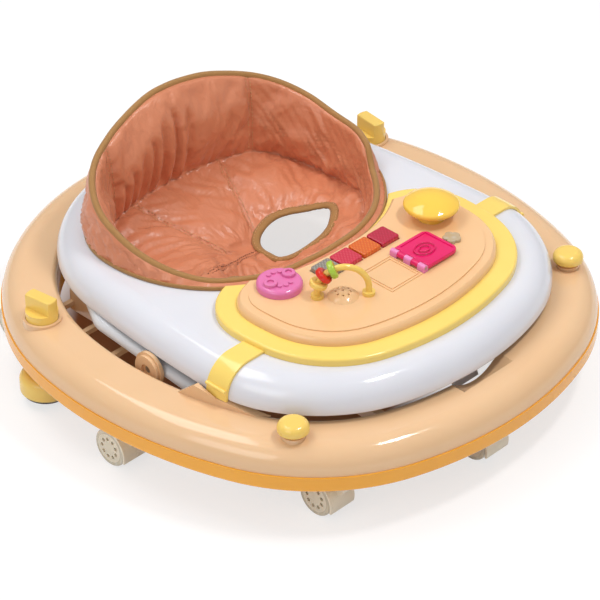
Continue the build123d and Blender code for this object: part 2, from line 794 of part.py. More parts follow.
# Upper tray: a domed shell with the seat opening, and pads inside for what hangs below it
with BuildPart() as tray_outside:
    with BuildSketch(Plane.XY.offset(tray_bottom)):
        draw_oval(tray_shape)
    extrude(amount=tray_height)
    fillet(tray_outside.faces().sort_by(Axis.Z)[-1].edges(), tray_shoulder)
    fillet(tray_outside.faces().sort_by(Axis.Z)[0].edges(), tray_edge_round)

with BuildPart() as tray_hollow:
    with BuildSketch(Plane.XY.offset(tray_bottom)):
        draw_oval(tray_shape, wall)
    extrude(amount=tray_height - wall)
    fillet(tray_hollow.faces().sort_by(Axis.Z)[-1].edges(), tray_shoulder - wall)

clamp_top = high_z + tube_radius + 3 * wall
rail_top = high_z + rail_half_slot + rail_wall
lug_bottom = lever_z - 2 * lever_barrel
with BuildPart() as tray_pads:
    for side in both_sides:
        with Locations((side * clamp_x, frame_front_y, clamp_top)):
            Box(clamp_width, 2 * lug_radius, tray_height, align=(Align.CENTER, Align.CENTER, Align.MIN))
        with Locations((side * (tray_rail_x + tray_rail_edge_x) / 2, rail_middle_y, rail_top)):
            Box(tray_rail_edge_x - tray_rail_x, rail_length, tray_height,
                align=(Align.CENTER, Align.CENTER, Align.MIN))
        lug_middle_x = lever_width / 2 + slide_clearance + lever_lug / 2
        with Locations((side * lug_middle_x, lever_y, lug_bottom)):
            Box(lever_lug, 3 * lever_barrel, tray_height, align=(Align.CENTER, Align.CENTER, Align.MIN))
    with BuildSketch(Plane.XY.offset(tray_top - opening_flange)):
        draw_oval(opening_shape, -wall)
    extrude(amount=opening_flange)
    add(tray_outside.part, mode=Mode.INTERSECT)

with BuildPart() as upper_tray:
    add(tray_outside.part)
    add(tray_hollow.part, mode=Mode.SUBTRACT)
    add(tray_pads.part)
    with BuildSketch(Plane.XY.offset(tray_bottom)):
        draw_oval(opening_shape)
    extrude(amount=tray_height, mode=Mode.SUBTRACT)
    with BuildSketch(Plane.YZ):
        with Locations((lever_y, lever_z)):
            Circle(lever_pin_radius + running_clearance)
    extrude(amount=lever_width, both=True, mode=Mode.SUBTRACT)
upper_tray.part.label = "upper_tray"
export_step(upper_tray.part, "parts/upper_tray.step")

# Rails under the tray that open outwards, and the clamps round the inner frame's front bar
with BuildPart() as tray_rails:
    slide_depth = tray_rail_edge_x - tray_rail_x - rail_wall
    for side in both_sides:
        with Locations((side * (tray_rail_x + tray_rail_edge_x) / 2, rail_middle_y, high_z)):
            Box(tray_rail_edge_x - tray_rail_x, rail_length, 2 * (rail_half_slot + rail_wall))
        with Locations((side * (tray_rail_edge_x - slide_depth / 2), rail_middle_y, high_z)):
            Box(slide_depth, rail_end_y - rail_start_y, 2 * rail_half_slot, mode=Mode.SUBTRACT)
tray_rails.part.label = "tray_rails"
export_step(tray_rails.part, "parts/tray_rails.step")

with BuildPart() as frame_clamps:
    for side in both_sides:
        with BuildSketch(Plane.YZ.offset(side * clamp_x - clamp_width / 2)):
            with Locations((frame_front_y, high_z)):
                Circle(lug_radius)
                Rectangle(2 * lug_radius, clamp_top - high_z, align=(Align.CENTER, Align.MIN))
                Circle(tube_radius + running_clearance, mode=Mode.SUBTRACT)
        extrude(amount=clamp_width)
frame_clamps.part.label = "frame_clamps"
export_step(frame_clamps.part, "parts/frame_clamps.step")

# Height lever: a hanging tab on a barrel with two pins, and an arm that reaches back to the frame bar
with BuildPart() as height_lever:
    with BuildSketch(Plane.YZ):
        with BuildLine():
            Polyline(
                (lever_y - lever_barrel, lever_z),
                (lever_y - lever_barrel - lever_lean, lever_z - lever_drop),
                (lever_y - lever_barrel - lever_lean + lever_thickness, lever_z - lever_drop),
                (lever_y - lever_barrel + lever_thickness, lever_z),
                close=True,
            )
        make_face()
        with Locations((lever_y, lever_z)):
            Circle(lever_barrel)
    extrude(amount=lever_width / 2, both=True)
    with BuildSketch(Plane.YZ):
        with Locations((lever_y, lever_z)):
            Rectangle(lever_arm, lever_thickness, align=(Align.MIN, Align.CENTER))
    extrude(amount=lever_width / 4, both=True)
    with BuildSketch(Plane.YZ):
        with Locations((lever_y, lever_z)):
            Circle(lever_pin_radius)
    extrude(amount=lever_width / 2 + slide_clearance + lever_lug, both=True)
height_lever.part.label = "height_lever"
export_step(height_lever.part, "parts/height_lever.step")


# Toy bezel: a crescent frame on the tray, with a strap down each side
with BuildPart() as strap_band:
    with BuildSketch(Plane.XY.offset(tray_bottom)):
        draw_oval(tray_shape, -strap_thickness - slide_clearance)
    extrude(amount=tray_height + strap_thickness + slide_clearance)
    fillet(strap_band.faces().sort_by(Axis.Z)[-1].edges(), tray_shoulder + strap_thickness)

with BuildPart() as strap_core:
    with BuildSketch(Plane.XY.offset(tray_bottom)):
        draw_oval(tray_shape, -slide_clearance)
    extrude(amount=tray_height + slide_clearance)
    fillet(strap_core.faces().sort_by(Axis.Z)[-1].edges(), tray_shoulder)

with BuildPart() as straps:
    add(strap_band.part)
    add(strap_core.part, mode=Mode.SUBTRACT)
    with BuildSketch(Plane.XY.offset(tray_bottom)):
        with Locations((0, strap_y)):
            Rectangle(4 * tray_half_width, strap_width)
        draw_oval(bezel_shape, bezel_width / 2, mode=Mode.SUBTRACT)
    extrude(amount=2 * tray_height, mode=Mode.INTERSECT)
    # A thumb ridge across the lower end of each strap
    for side in both_sides:
        with Locations((side * (tray_half_width + strap_thickness), strap_y, tray_top - strap_ridge_drop)):
            Cylinder(strap_ridge, strap_width, rotation=(90, 0, 0))

with BuildPart() as toy_bezel:
    with BuildSketch(Plane.XY.offset(tray_top)):
        draw_oval(bezel_shape)
        draw_oval(opening_shape, -bezel_rear_gap, mode=Mode.SUBTRACT)
    extrude(amount=bezel_height)
    fillet(toy_bezel.faces().sort_by(Axis.Z)[-1].edges(), bezel_round / 2)
    add(straps.part)
    with BuildSketch(Plane.XY.offset(tray_top)):
        draw_oval(bezel_shape, bezel_width)
        draw_oval(opening_shape, -bezel_rear_gap - bezel_rear_width, mode=Mode.SUBTRACT)
    extrude(amount=2 * bezel_height, mode=Mode.SUBTRACT)
toy_bezel.part.label = "toy_bezel"
export_step(toy_bezel.part, "parts/toy_bezel.step")

# Toy panel: a puffed shell that fills the bezel
key_places = [((index - (key_count - 1) / 2) * key_pitch, key_y) for index in range(key_count)]
hinge_z = panel_top + hinge_rise
with BuildPart() as toy_panel:
    with BuildSketch(Plane.XY.offset(tray_top)):
        draw_oval(bezel_shape, bezel_width)
        draw_oval(opening_shape, -bezel_rear_gap - bezel_rear_width, mode=Mode.SUBTRACT)
    extrude(amount=panel_height)
    fillet(toy_panel.faces().sort_by(Axis.Z)[-1].edges(), panel_round)
    # A lower border leaves a plateau for the toys
    with BuildSketch(Plane.XY.offset(panel_top - panel_step)):
        draw_oval(bezel_shape, bezel_width)
        draw_oval(bezel_shape, bezel_width + panel_border, mode=Mode.SUBTRACT)
    with BuildSketch(Plane.XY.offset(panel_top - panel_step)):
        draw_oval(opening_shape, -bezel_rear_gap - bezel_rear_width - panel_border)
    extrude(amount=panel_height, mode=Mode.SUBTRACT)
    # Two outlines on the place where the page comes to lie when it is turned over
    pad_length = page_reach - hinge_radius
    with BuildSketch(Plane.XY.offset(panel_top)):
        with Locations((hinge_x - hinge_radius - pad_length / 2, hinge_middle_y)):
            for inset in pad_outlines:
                outer = inset - pad_outline_width
                Rectangle(pad_length - 2 * outer, hinge_length - 2 * outer)
                Rectangle(pad_length - 2 * inset, hinge_length - 2 * inset, mode=Mode.SUBTRACT)
    extrude(amount=pad_outline_rise)
    with BuildSketch(Plane.XY.offset(tray_top)):
        draw_oval(bezel_shape, bezel_width + wall)
        draw_oval(opening_shape, -bezel_rear_gap - bezel_rear_width - wall, mode=Mode.SUBTRACT)
    extrude(amount=panel_height - panel_round, mode=Mode.SUBTRACT)
    with BuildSketch(Plane.XY.offset(tray_top)):
        with Locations(*key_places):
            Rectangle(key_width + 2 * slide_clearance, key_depth + 2 * slide_clearance)
        with Locations((dial_x, dial_y)):
            Circle(dial_stem_radius + running_clearance)
        with Locations((dome_x, dome_y)):
            Circle(dome_neck_radius + slide_clearance)
    extrude(amount=2 * panel_height, mode=Mode.SUBTRACT)
toy_panel.part.label = "toy_panel"
export_step(toy_panel.part, "parts/toy_panel.step")

# Sound box under the top of the panel, with its round speaker
with BuildPart() as sound_box:
    with BuildSketch(Plane.XY.offset(panel_under)):
        with Locations((0, sound_box_y)):
            RectangleRounded(sound_box_length, sound_box_width, wall)
        with Locations((arch_x, arch_y)):
            Circle(speaker_radius)
    extrude(amount=-sound_box_height)
sound_box.part.label = "sound_box"
export_step(sound_box.part, "parts/sound_box.step")

# Turning dial with two dimpled nubs
dial_top = panel_top + slide_clearance + dial_height
with BuildPart() as dial:
    with BuildSketch(Plane.XY.offset(panel_top + slide_clearance)):
        with Locations((dial_x, dial_y)):
            Circle(dial_radius)
    extrude(amount=dial_height)
    fillet(dial.faces().sort_by(Axis.Z)[-1].edges(), dial_height / 2)
    with BuildSketch(Plane.XY.offset(dial_top)):
        with Locations((dial_x, dial_y)):
            with PolarLocations(dial_nub_reach, 2):
                Circle(dial_nub_radius)
    extrude(amount=dial_nub_height)
    fillet(dial.faces().sort_by(Axis.Z)[-2:].edges(), dial_nub_height / 3)
    with BuildSketch(Plane.XY.offset(dial_top + dial_nub_height)):
        with Locations((dial_x, dial_y)):
            with PolarLocations(dial_nub_reach, 2):
                Circle(dial_nub_radius / 2)
    extrude(amount=-dial_nub_height / 2, mode=Mode.SUBTRACT)
    for turn in dial_bump_turns:
        with BuildSketch(Plane.XY.offset(dial_top)):
            with Locations((dial_x, dial_y)):
                with PolarLocations(dial_nub_reach, dial_bump_count, turn, quarter_turn):
                    Circle(dial_bump_radius)
        extrude(amount=dial_nub_height / 2)
    with BuildSketch(Plane.XY.offset(tray_top + wall)):
        with Locations((dial_x, dial_y)):
            Circle(dial_stem_radius)
    extrude(amount=panel_height)
dial.part.label = "dial"
export_step(dial.part, "parts/dial.step")

# Keys: caps that stand through the panel, with a flange under its top
for number, place in enumerate(key_places, start=1):
    with BuildPart() as key:
        with BuildSketch(Plane.XY.offset(panel_under - slide_clearance)):
            with Locations(place):
                Rectangle(key_width, key_depth)
        extrude(amount=panel_round + slide_clearance + key_travel + key_proud)
        fillet(key.edges().filter_by(Axis.Z), wall)
        fillet(key.faces().sort_by(Axis.Z)[-1].edges(), wall / 2)
        with BuildSketch(Plane.XY.offset(panel_under - slide_clearance)):
            with Locations(place):
                Rectangle(key_pitch - 2 * slide_clearance, key_depth + 2 * key_flange)
        extrude(amount=-wall)
    key.part.label = f"key_{number}"
    export_step(key.part, f"parts/key_{number}.step")

# Page that flips over on knuckles: fixed and turning knuckles alternate along the pin
knuckle_pitch = hinge_length / knuckle_count
hinge_start_y = hinge_middle_y - hinge_length / 2
with BuildPart() as book_spine:
    for index in range(0, knuckle_count, 2):
        middle_y = hinge_start_y + (index + 0.5) * knuckle_pitch
        with BuildSketch(Plane.XZ.offset(-middle_y)):
            with Locations((hinge_x, hinge_z)):
                Circle(hinge_radius)
                Rectangle(2 * hinge_radius, hinge_rise, align=(Align.CENTER, Align.MAX))
                Circle(hinge_pin_radius, mode=Mode.SUBTRACT)
        extrude(amount=knuckle_pitch / 2 - slide_clearance / 2, both=True)
book_spine.part.label = "book_spine"
export_step(book_spine.part, "parts/book_spine.step")

with BuildPart() as book_pin:
    with BuildSketch(Plane.XZ.offset(-hinge_middle_y)):
        with Locations((hinge_x, hinge_z)):
            Circle(hinge_pin_radius)
    extrude(amount=hinge_length / 2, both=True)
book_pin.part.label = "book_pin"
export_step(book_pin.part, "parts/book_pin.step")

with BuildPart() as book_page:
    page_start = hinge_radius + moving_gap
    with BuildSketch(Plane.XY.offset(hinge_z)):
        with Locations((hinge_x + page_start, hinge_middle_y)):
            Rectangle(page_reach - page_start, hinge_length, align=(Align.MIN, Align.CENTER))
    extrude(amount=page_thickness / 2, both=True)
    fillet(book_page.edges().filter_by(Axis.Z).group_by(Axis.X)[-1], page_corner)
    fillet(book_page.faces().sort_by(Axis.Z)[-1].edges(), page_thickness / 4)
    with BuildSketch(Plane.XY.offset(hinge_z + page_thickness / 2)):
        with Locations((hinge_x + page_start + page_rim, hinge_middle_y)):
            Rectangle(page_reach - page_start - 2 * page_rim, hinge_length - 2 * page_rim,
                      align=(Align.MIN, Align.CENTER))
    extrude(amount=-page_recess, mode=Mode.SUBTRACT)
    for index in range(1, knuckle_count, 2):
        middle_y = hinge_start_y + (index + 0.5) * knuckle_pitch
        with BuildSketch(Plane.XZ.offset(-middle_y)):
            with Locations((hinge_x, hinge_z)):
                Circle(hinge_radius)
                Rectangle(page_start + page_thickness, page_thickness, align=(Align.MIN, Align.CENTER))
        extrude(amount=knuckle_pitch / 2 - slide_clearance / 2, both=True)
    with BuildSketch(Plane.XZ.offset(-hinge_middle_y)):
        with Locations((hinge_x, hinge_z)):
            Circle(hinge_pin_radius + running_clearance)
    extrude(amount=hinge_length, both=True, mode=Mode.SUBTRACT)
book_page.part.label = "book_page"
export_step(book_page.part, "parts/book_page.step")

# Push dome: a lens on a neck, with a flange under the panel's top
dome_z = panel_top + dome_travel + moving_gap + dome_half_height
dome_plane = Plane((dome_x, dome_y, 0), x_dir=(1, 0, 0), z_dir=(0, -1, 0))
with BuildPart() as push_dome:
    with BuildSketch(dome_plane) as dome_profile:
        with BuildLine():
            Polyline(
                (dome_radius, dome_z),
                (dome_neck_radius, dome_z - dome_half_height),
                (dome_neck_radius, panel_under - slide_clearance),
                (dome_neck_radius + key_flange, panel_under - slide_clearance),
                (dome_neck_radius + key_flange, panel_under - slide_clearance - wall),
                (0, panel_under - slide_clearance - wall),
                (0, dome_z + dome_half_height),
            )
            TangentArc((0, dome_z + dome_half_height), (dome_radius, dome_z), tangent=(1, 0))
        make_face()
        fillet(dome_profile.vertices().sort_by(Axis.X)[-1:], dome_rim_round)
    revolve(axis=Axis((dome_x, dome_y, 0), (0, 0, 1)))
push_dome.part.label = "push_dome"
export_step(push_dome.part, "parts/push_dome.step")

# Bead arch on two feet, with three beads that slide round it together
arch_across = Vector(cos(radians(arch_turn)), sin(radians(arch_turn)))
arch_plane = Plane((arch_x, arch_y, panel_top), x_dir=arch_across, z_dir=(arch_across.Y, -arch_across.X, 0))
with BuildPart() as bead_arch:
    with BuildLine(arch_plane) as arch_path:
        Line((-arch_radius, 0), (-arch_radius, arch_leg))
        CenterArc((0, arch_leg), arch_radius, 180, -90)
        CenterArc((0, arch_leg), arch_radius, 90, -90)
        Line((arch_radius, arch_leg), (arch_radius, 0))
    feet = [arch_plane.from_local_coords(Vector(side * arch_radius, 0)) for side in both_sides]
    with BuildSketch(Plane(feet[0], z_dir=(0, 0, 1))):
        Circle(arch_tube)
    sweep(path=arch_path.wire())
    with BuildSketch(Plane.XY.offset(panel_top)):
        with Locations(*[(foot.X, foot.Y) for foot in feet]):
            Circle(arch_foot_radius)
    extrude(amount=arch_foot_height)
bead_arch.part.label = "bead_arch"
export_step(bead_arch.part, "parts/bead_arch.step")

for name, angle in zip(("green", "red", "yellow"), bead_angles):
    outwards = arch_plane.x_dir * cos(radians(angle)) + arch_plane.y_dir * sin(radians(angle))
    along = arch_plane.y_dir * cos(radians(angle)) - arch_plane.x_dir * sin(radians(angle))
    middle = arch_plane.from_local_coords(Vector(0, arch_leg)) + outwards * arch_radius
    with BuildPart() as bead:
        with BuildSketch(Plane(middle, x_dir=outwards, z_dir=along)):
            Circle(bead_radius)
        extrude(amount=bead_width / 2, both=True)
        fillet(bead.edges(), bead_width / 3)
        with BuildSketch(Plane(middle, x_dir=outwards, z_dir=along)):
            Circle(arch_tube + 2 * slide_clearance)
        extrude(amount=bead_width, both=True, mode=Mode.SUBTRACT)
    bead.part.label = f"bead_{name}"
    export_step(bead.part, f"parts/bead_{name}.step")

# Speaker cover: a low dome with sound holes, between the feet of the arch
with BuildPart() as speaker_cover:
    with BuildSketch(Plane((arch_x, arch_y, panel_top), x_dir=(1, 0, 0), z_dir=(0, -1, 0))):
        with BuildLine():
            Polyline((0, speaker_dome), (0, 0), (speaker_radius, 0))
            TangentArc((0, speaker_dome), (speaker_radius, 0), tangent=(1, 0))
        make_face()
    revolve(axis=Axis((arch_x, arch_y, 0), (0, 0, 1)))
    with BuildSketch(Plane.XY.offset(panel_top)):
        with Locations((arch_x, arch_y)):
            Circle(speaker_hole_radius)
            with PolarLocations(speaker_hole_reach, speaker_hole_count):
                Circle(speaker_hole_radius)
    extrude(amount=2 * speaker_dome, mode=Mode.SUBTRACT)
speaker_cover.part.label = "speaker_cover"
export_step(speaker_cover.part, "parts/speaker_cover.step")

# Small clear lens of five petals
with BuildPart() as flower_lens:
    with BuildSketch(Plane.XY.offset(panel_top)):
        with Locations((lens_x, lens_y)):
            Circle(lens_petal_reach)
            with PolarLocations(lens_petal_reach, lens_petal_count):
                Circle(lens_petal)
    extrude(amount=lens_height)
    fillet(flower_lens.faces().sort_by(Axis.Z)[-1].edges(), lens_height / 4)
flower_lens.part.label = "flower_lens"
export_step(flower_lens.part, "parts/flower_lens.step")


# Seat band: a pad along each side and one across the back, sewn to one another, that rise towards the back
opening_line = half_line(opening_shape).wire()
half_seam = band_seam / opening_line.length / 2


def band_section(station, pad_start, pad_end):
    """Cross-section of a pad at a station from the front (0) of the opening to its back (1) and on round (2)."""
    share = min(station, 2 - station)
    mirrored = 1 if station <= 1 else -1
    place, along = opening_line @ share, opening_line % share
    outwards = Vector(mirrored * along.Y, -along.X)
    climb = max(0.0, (share - band_rise_start) / (1 - band_rise_start))
    rise = band_front_rise + (band_back_rise - band_front_rise) * climb**2 * (3 - 2 * climb)
    from_seam = min(station - pad_start, pad_end - station)
    drawn_in = sin(radians(quarter_turn) * min(1.0, from_seam / band_seam_reach))
    crown = band_crown * (1 + 2 * drawn_in) / 3 * min(1.0, rise / opening_flange / 2)
    top = tray_top + rise
    inner = -band_gap - band_thickness
    shoulder = band_thickness / 2
    with BuildSketch(Plane((mirrored * place.X, place.Y), x_dir=outwards, z_dir=(outwards.Y, -outwards.X, 0)),
                     mode=Mode.PRIVATE) as section:
        with BuildLine():
            Polyline((inner, band_bottom), (-band_gap, band_bottom), (-band_gap, tray_top), (band_ledge, tray_top))
            outer_top = (band_ledge - wall / 2, top - shoulder)
            inner_top = (inner + wall / 2, top - shoulder)
            middle_x = (band_ledge + inner) / 2
            ThreePointArc((band_ledge, tray_top), (band_ledge + crown, (tray_top + top - shoulder) / 2), outer_top)
            ThreePointArc(outer_top, (middle_x, top), inner_top)
            ThreePointArc(inner_top, (inner - crown, (band_bottom + top - shoulder) / 2), (inner, band_bottom))
        make_face()
    return section.sketch.faces()[0]


def pad_sections(pad_start, pad_end):
    """Evenly spaced cross-sections along a pad."""
    step = (pad_end - pad_start) / band_steps
    return [band_section(pad_start + step * index, pad_start, pad_end) for index in range(band_steps + 1)]


with BuildPart() as side_pad:
    loft(pad_sections(half_seam, band_seam_station - half_seam))
with BuildPart() as seat_back:
    add(side_pad.part)
    mirror(side_pad.part, about=Plane.YZ)
    loft(pad_sections(band_seam_station + half_seam, 2 - band_seam_station - half_seam))
seat_back.part.label = "seat_back"
export_step(seat_back.part, "parts/seat_back.step")

# Seat sling: a shallow cloth bowl below the band
sling_drop = band_bottom - sling_bottom
with BuildPart() as sling_inside:
    for share, inset in sling_levels:
        with BuildSketch(Plane.XY.offset(band_bottom - share * (sling_drop - sling_cloth))):
            draw_oval(opening_shape, inset + sling_cloth)
    loft()
with BuildPart() as seat_sling:
    for share, inset in sling_levels:
        with BuildSketch(Plane.XY.offset(band_bottom - share * sling_drop)):
            draw_oval(opening_shape, inset)
    loft()
    add(sling_inside.part, mode=Mode.SUBTRACT)
    with BuildSketch(Plane.XY.offset(sling_bottom)):
        with Locations((leg_x, leg_y), (-leg_x, leg_y)):
            Ellipse(leg_half_width, leg_half_depth)
    extrude(amount=sling_drop, both=True, mode=Mode.SUBTRACT)
seat_sling.part.label = "seat_sling"
export_step(seat_sling.part, "parts/seat_sling.step")
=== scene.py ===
import math
import bmesh
import bpy
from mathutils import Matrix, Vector, noise
from mathutils.bvhtree import BVHTree


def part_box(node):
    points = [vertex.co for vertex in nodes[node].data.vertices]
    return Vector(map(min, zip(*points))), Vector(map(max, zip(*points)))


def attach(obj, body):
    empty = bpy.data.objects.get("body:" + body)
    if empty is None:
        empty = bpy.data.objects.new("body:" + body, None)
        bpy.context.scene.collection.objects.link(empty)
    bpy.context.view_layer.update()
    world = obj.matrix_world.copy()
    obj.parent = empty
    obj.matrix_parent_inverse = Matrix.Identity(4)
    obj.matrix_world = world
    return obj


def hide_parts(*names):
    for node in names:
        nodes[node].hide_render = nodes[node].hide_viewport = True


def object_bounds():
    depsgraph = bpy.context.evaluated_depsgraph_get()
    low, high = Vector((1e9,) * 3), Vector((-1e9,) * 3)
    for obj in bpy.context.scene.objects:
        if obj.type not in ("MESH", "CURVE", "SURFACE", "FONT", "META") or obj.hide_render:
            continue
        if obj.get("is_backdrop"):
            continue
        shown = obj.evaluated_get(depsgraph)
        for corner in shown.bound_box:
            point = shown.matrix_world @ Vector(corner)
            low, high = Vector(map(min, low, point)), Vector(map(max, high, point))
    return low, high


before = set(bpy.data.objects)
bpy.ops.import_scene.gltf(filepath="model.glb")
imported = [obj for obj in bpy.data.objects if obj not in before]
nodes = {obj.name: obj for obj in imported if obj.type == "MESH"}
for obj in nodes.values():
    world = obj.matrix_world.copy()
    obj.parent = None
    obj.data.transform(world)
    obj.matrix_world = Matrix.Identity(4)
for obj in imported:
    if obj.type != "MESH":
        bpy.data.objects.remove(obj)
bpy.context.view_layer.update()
MM = 0.001
UP = Vector((0, 0, 1))


# Material helpers

def linear(code):
    """A colour written as sRGB hex, as linear values."""
    values = []
    for place in (1, 3, 5):
        c = int(code[place:place + 2], 16) / 255
        values.append(c / 12.92 if c <= 0.04045 else ((c + 0.055) / 1.055) ** 2.4)
    return (*values, 1.0)


def grain(size):
    """Noise scale that gives blotches about this many millimetres across."""
    return 1 / (size * MM)


def lines(size):
    """Wave scale that gives lines this many millimetres apart."""
    return math.pi / 10 / (size * MM)


def add(tree, kind, settings=None, **links):
    """Adds a node. Settings are its own values; links are socket values, or the sockets that feed them."""
    made = tree.nodes.new(kind)
    for key, value in (settings or {}).items():
        setattr(made, key, value)
    for key, value in links.items():
        socket = made.inputs[int(key[1:]) if key[0] == "_" else key.replace("_", " ")]
        if isinstance(value, bpy.types.NodeSocket):
            tree.links.new(value, socket)
        else:
            socket.default_value = value
    return made


def new_material(name):
    """An empty material with one shader in it."""
    material = bpy.data.materials.new(name)
    material.use_nodes = True
    tree = material.node_tree
    tree.nodes.clear()
    out = add(tree, "ShaderNodeOutputMaterial")
    shader = add(tree, "ShaderNodeBsdfPrincipled")
    tree.links.new(shader.outputs[0], out.inputs[0])
    return material, tree, shader


def two_tone(tree, shader, share, colour, deep):
    """Colours the shader between two tones of one dye."""
    tint = add(tree, "ShaderNodeMix", {"data_type": "RGBA"}, _0=share, _6=linear(colour), _7=linear(deep))
    tree.links.new(tint.outputs[2], shader.inputs["Base Color"])


# Plastics, steel and rubber. Pattern sizes are in millimetres
MELT_DRIFT, FLOW_SWIRL, ORANGE_PEEL = 110, 22, 2.4
GLOW_DEPTH = 4 * MM


def moulded(name, colour, deep, rough=0.16, ior=1.53, glow=0.08, peel=0.03):
    """Injection-moulded plastic from a polished tool: even colour that drifts a little as the melt flowed,
    gloss with faint flow swirls, fine orange peel, and light that goes a few millimetres into the wall."""
    material, tree, shader = new_material(name)
    place = add(tree, "ShaderNodeTexCoord").outputs["Object"]
    drift = add(tree, "ShaderNodeTexNoise", Vector=place, Scale=grain(MELT_DRIFT), Detail=3.0, Roughness=0.5)
    swirl = add(tree, "ShaderNodeTexNoise", Vector=place, Scale=grain(FLOW_SWIRL), Detail=4.0, Roughness=0.6)
    peeled = add(tree, "ShaderNodeTexNoise", Vector=place, Scale=grain(ORANGE_PEEL), Detail=2.0)
    two_tone(tree, shader, drift.outputs[0], colour, deep)
    gloss = add(tree, "ShaderNodeMapRange", Value=swirl.outputs[0], _3=rough * 0.75, _4=rough * 1.3)
    tree.links.new(gloss.outputs[0], shader.inputs["Roughness"])
    bump = add(tree, "ShaderNodeBump", Height=peeled.outputs[0], Strength=peel, Distance=0.4 * MM)
    tree.links.new(bump.outputs[0], shader.inputs["Normal"])
    shader.inputs["IOR"].default_value = ior
    shader.inputs["Subsurface Weight"].default_value = glow
    shader.inputs["Subsurface Radius"].default_value = (1.0, 0.6, 0.4)
    shader.inputs["Subsurface Scale"].default_value = GLOW_DEPTH
    return material


abs_peach = moulded("abs_peach", "#ecc59b", "#e6bb8e", 0.1, glow=0.12)
abs_panel = moulded("abs_peach_panel", "#f1c797", "#ebbb87", 0.15, glow=0.12)
abs_amber = moulded("abs_amber", "#fbb239", "#f4a52a", 0.15)
pp_white = moulded("polypropylene_white", "#e3e3e9", "#d9d9e0", 0.11, 1.49)
pp_cream = moulded("polypropylene_cream", "#efe6d3", "#e5d9c0", 0.28, 1.49)
abs_yellow = moulded("abs_yellow", "#f8d472", "#f1c85f", 0.2)
abs_bezel = moulded("abs_light_yellow", "#fcdc7a", "#f8d266", 0.17)
abs_dome = moulded("abs_dome_yellow", "#fbcf55", "#f6c446", 0.08)
abs_pink = moulded("abs_pink", "#e57fb4", "#db6fa6", 0.2)
abs_light_pink = moulded("abs_light_pink", "#ec8fc4", "#e583ba", 0.2)
abs_magenta = moulded("abs_magenta", "#e8186b", "#db105f", 0.18)
abs_green = moulded("abs_green", "#b2d04a", "#a3c33c", 0.15)
abs_red = moulded("abs_red", "#e22d1a", "#d32414", 0.12)
nylon_grey = moulded("nylon_grey", "#57575a", "#4b4b4e", 0.5, glow=0.0)
rubber = moulded("rubber_foot", "#4a4540", "#3e3a36", 0.75, glow=0.0, peel=0.1)
# Powder coat: baked paint on tube, a little duller, with a pebbled skin
powder_coat = moulded("powder_coat_white", "#e6e8ec", "#dcdee3", 0.3, 1.5, glow=0.0, peel=0.12)


CRYSTAL = 3


def plated(name, colour, deep):
    """Plated steel fasteners: soft metal sheen with a fine crystal mottle."""
    material, tree, shader = new_material(name)
    place = add(tree, "ShaderNodeTexCoord").outputs["Object"]
    mottle = add(tree, "ShaderNodeTexNoise", Vector=place, Scale=grain(CRYSTAL), Detail=3.0)
    gloss = add(tree, "ShaderNodeMapRange", Value=mottle.outputs[0], _3=0.25, _4=0.45)
    tree.links.new(gloss.outputs[0], shader.inputs["Roughness"])
    two_tone(tree, shader, mottle.outputs[0], colour, deep)
    shader.inputs["Metallic"].default_value = 1.0
    return material


steel = plated("zinc_plated_steel", "#b9b7b2", "#a9a7a2")
black_steel = plated("blackened_steel", "#3a3836", "#2b2a28")


KEY_HATCH, LENS_HATCH, TYRE_HATCH = 3.2, 9.0, 6.0
HATCH_TURN = math.radians(38)


def tinted_plastic(name, colour, deep, rough, hatch, clear):
    """Clear polystyrene or vinyl with a dye in it, moulded over a diamond hatch that sparkles from below."""
    material, tree, shader = new_material(name)
    place = add(tree, "ShaderNodeTexCoord").outputs["Object"]
    turned = add(tree, "ShaderNodeMapping", Vector=place, Rotation=(0, 0, HATCH_TURN))
    one, two = [add(tree, "ShaderNodeTexWave", {"bands_direction": way}, Vector=turned.outputs[0],
                    Scale=lines(hatch)).outputs[1] for way in "XY"]
    both = add(tree, "ShaderNodeMath", {"operation": "MULTIPLY"}, _0=one, _1=two)
    two_tone(tree, shader, both.outputs[0], colour, deep)
    bump = add(tree, "ShaderNodeBump", Height=both.outputs[0], Strength=0.35, Distance=0.5 * MM)
    tree.links.new(bump.outputs[0], shader.inputs["Normal"])
    shader.inputs["Roughness"].default_value = rough
    shader.inputs["IOR"].default_value = 1.55
    shader.inputs["Transmission Weight"].default_value = clear
    shader.inputs["Coat Weight"].default_value = 0.3
    shader.inputs["Coat Roughness"].default_value = 0.05
    return material


key_plastics = [tinted_plastic("polystyrene_clear", "#9a9186", "#cfc7bb", 0.12, KEY_HATCH, 0.35),
                tinted_plastic("polystyrene_rose", "#dc2446", "#ec4a62", 0.12, KEY_HATCH, 0.2),
                tinted_plastic("polystyrene_orange", "#ea6414", "#f88a28", 0.12, KEY_HATCH, 0.2),
                tinted_plastic("polystyrene_red", "#c40f3a", "#d82450", 0.12, KEY_HATCH, 0.2)]
lens_plastic = tinted_plastic("polystyrene_lens", "#f6d9ae", "#fdebcf", 0.06, LENS_HATCH, 0.45)
tyre_vinyl = tinted_plastic("vinyl_clear_tyre", "#e9dcbf", "#f6eedb", 0.22, TYRE_HATCH, 0.3)


# Cloth, tape and thread
DYE_DRIFT, TWILL, SLACK_CRUMPLE = 60, 0.9, 24
TAPE_RIB, THREAD_TWIST = 1.0, 0.8


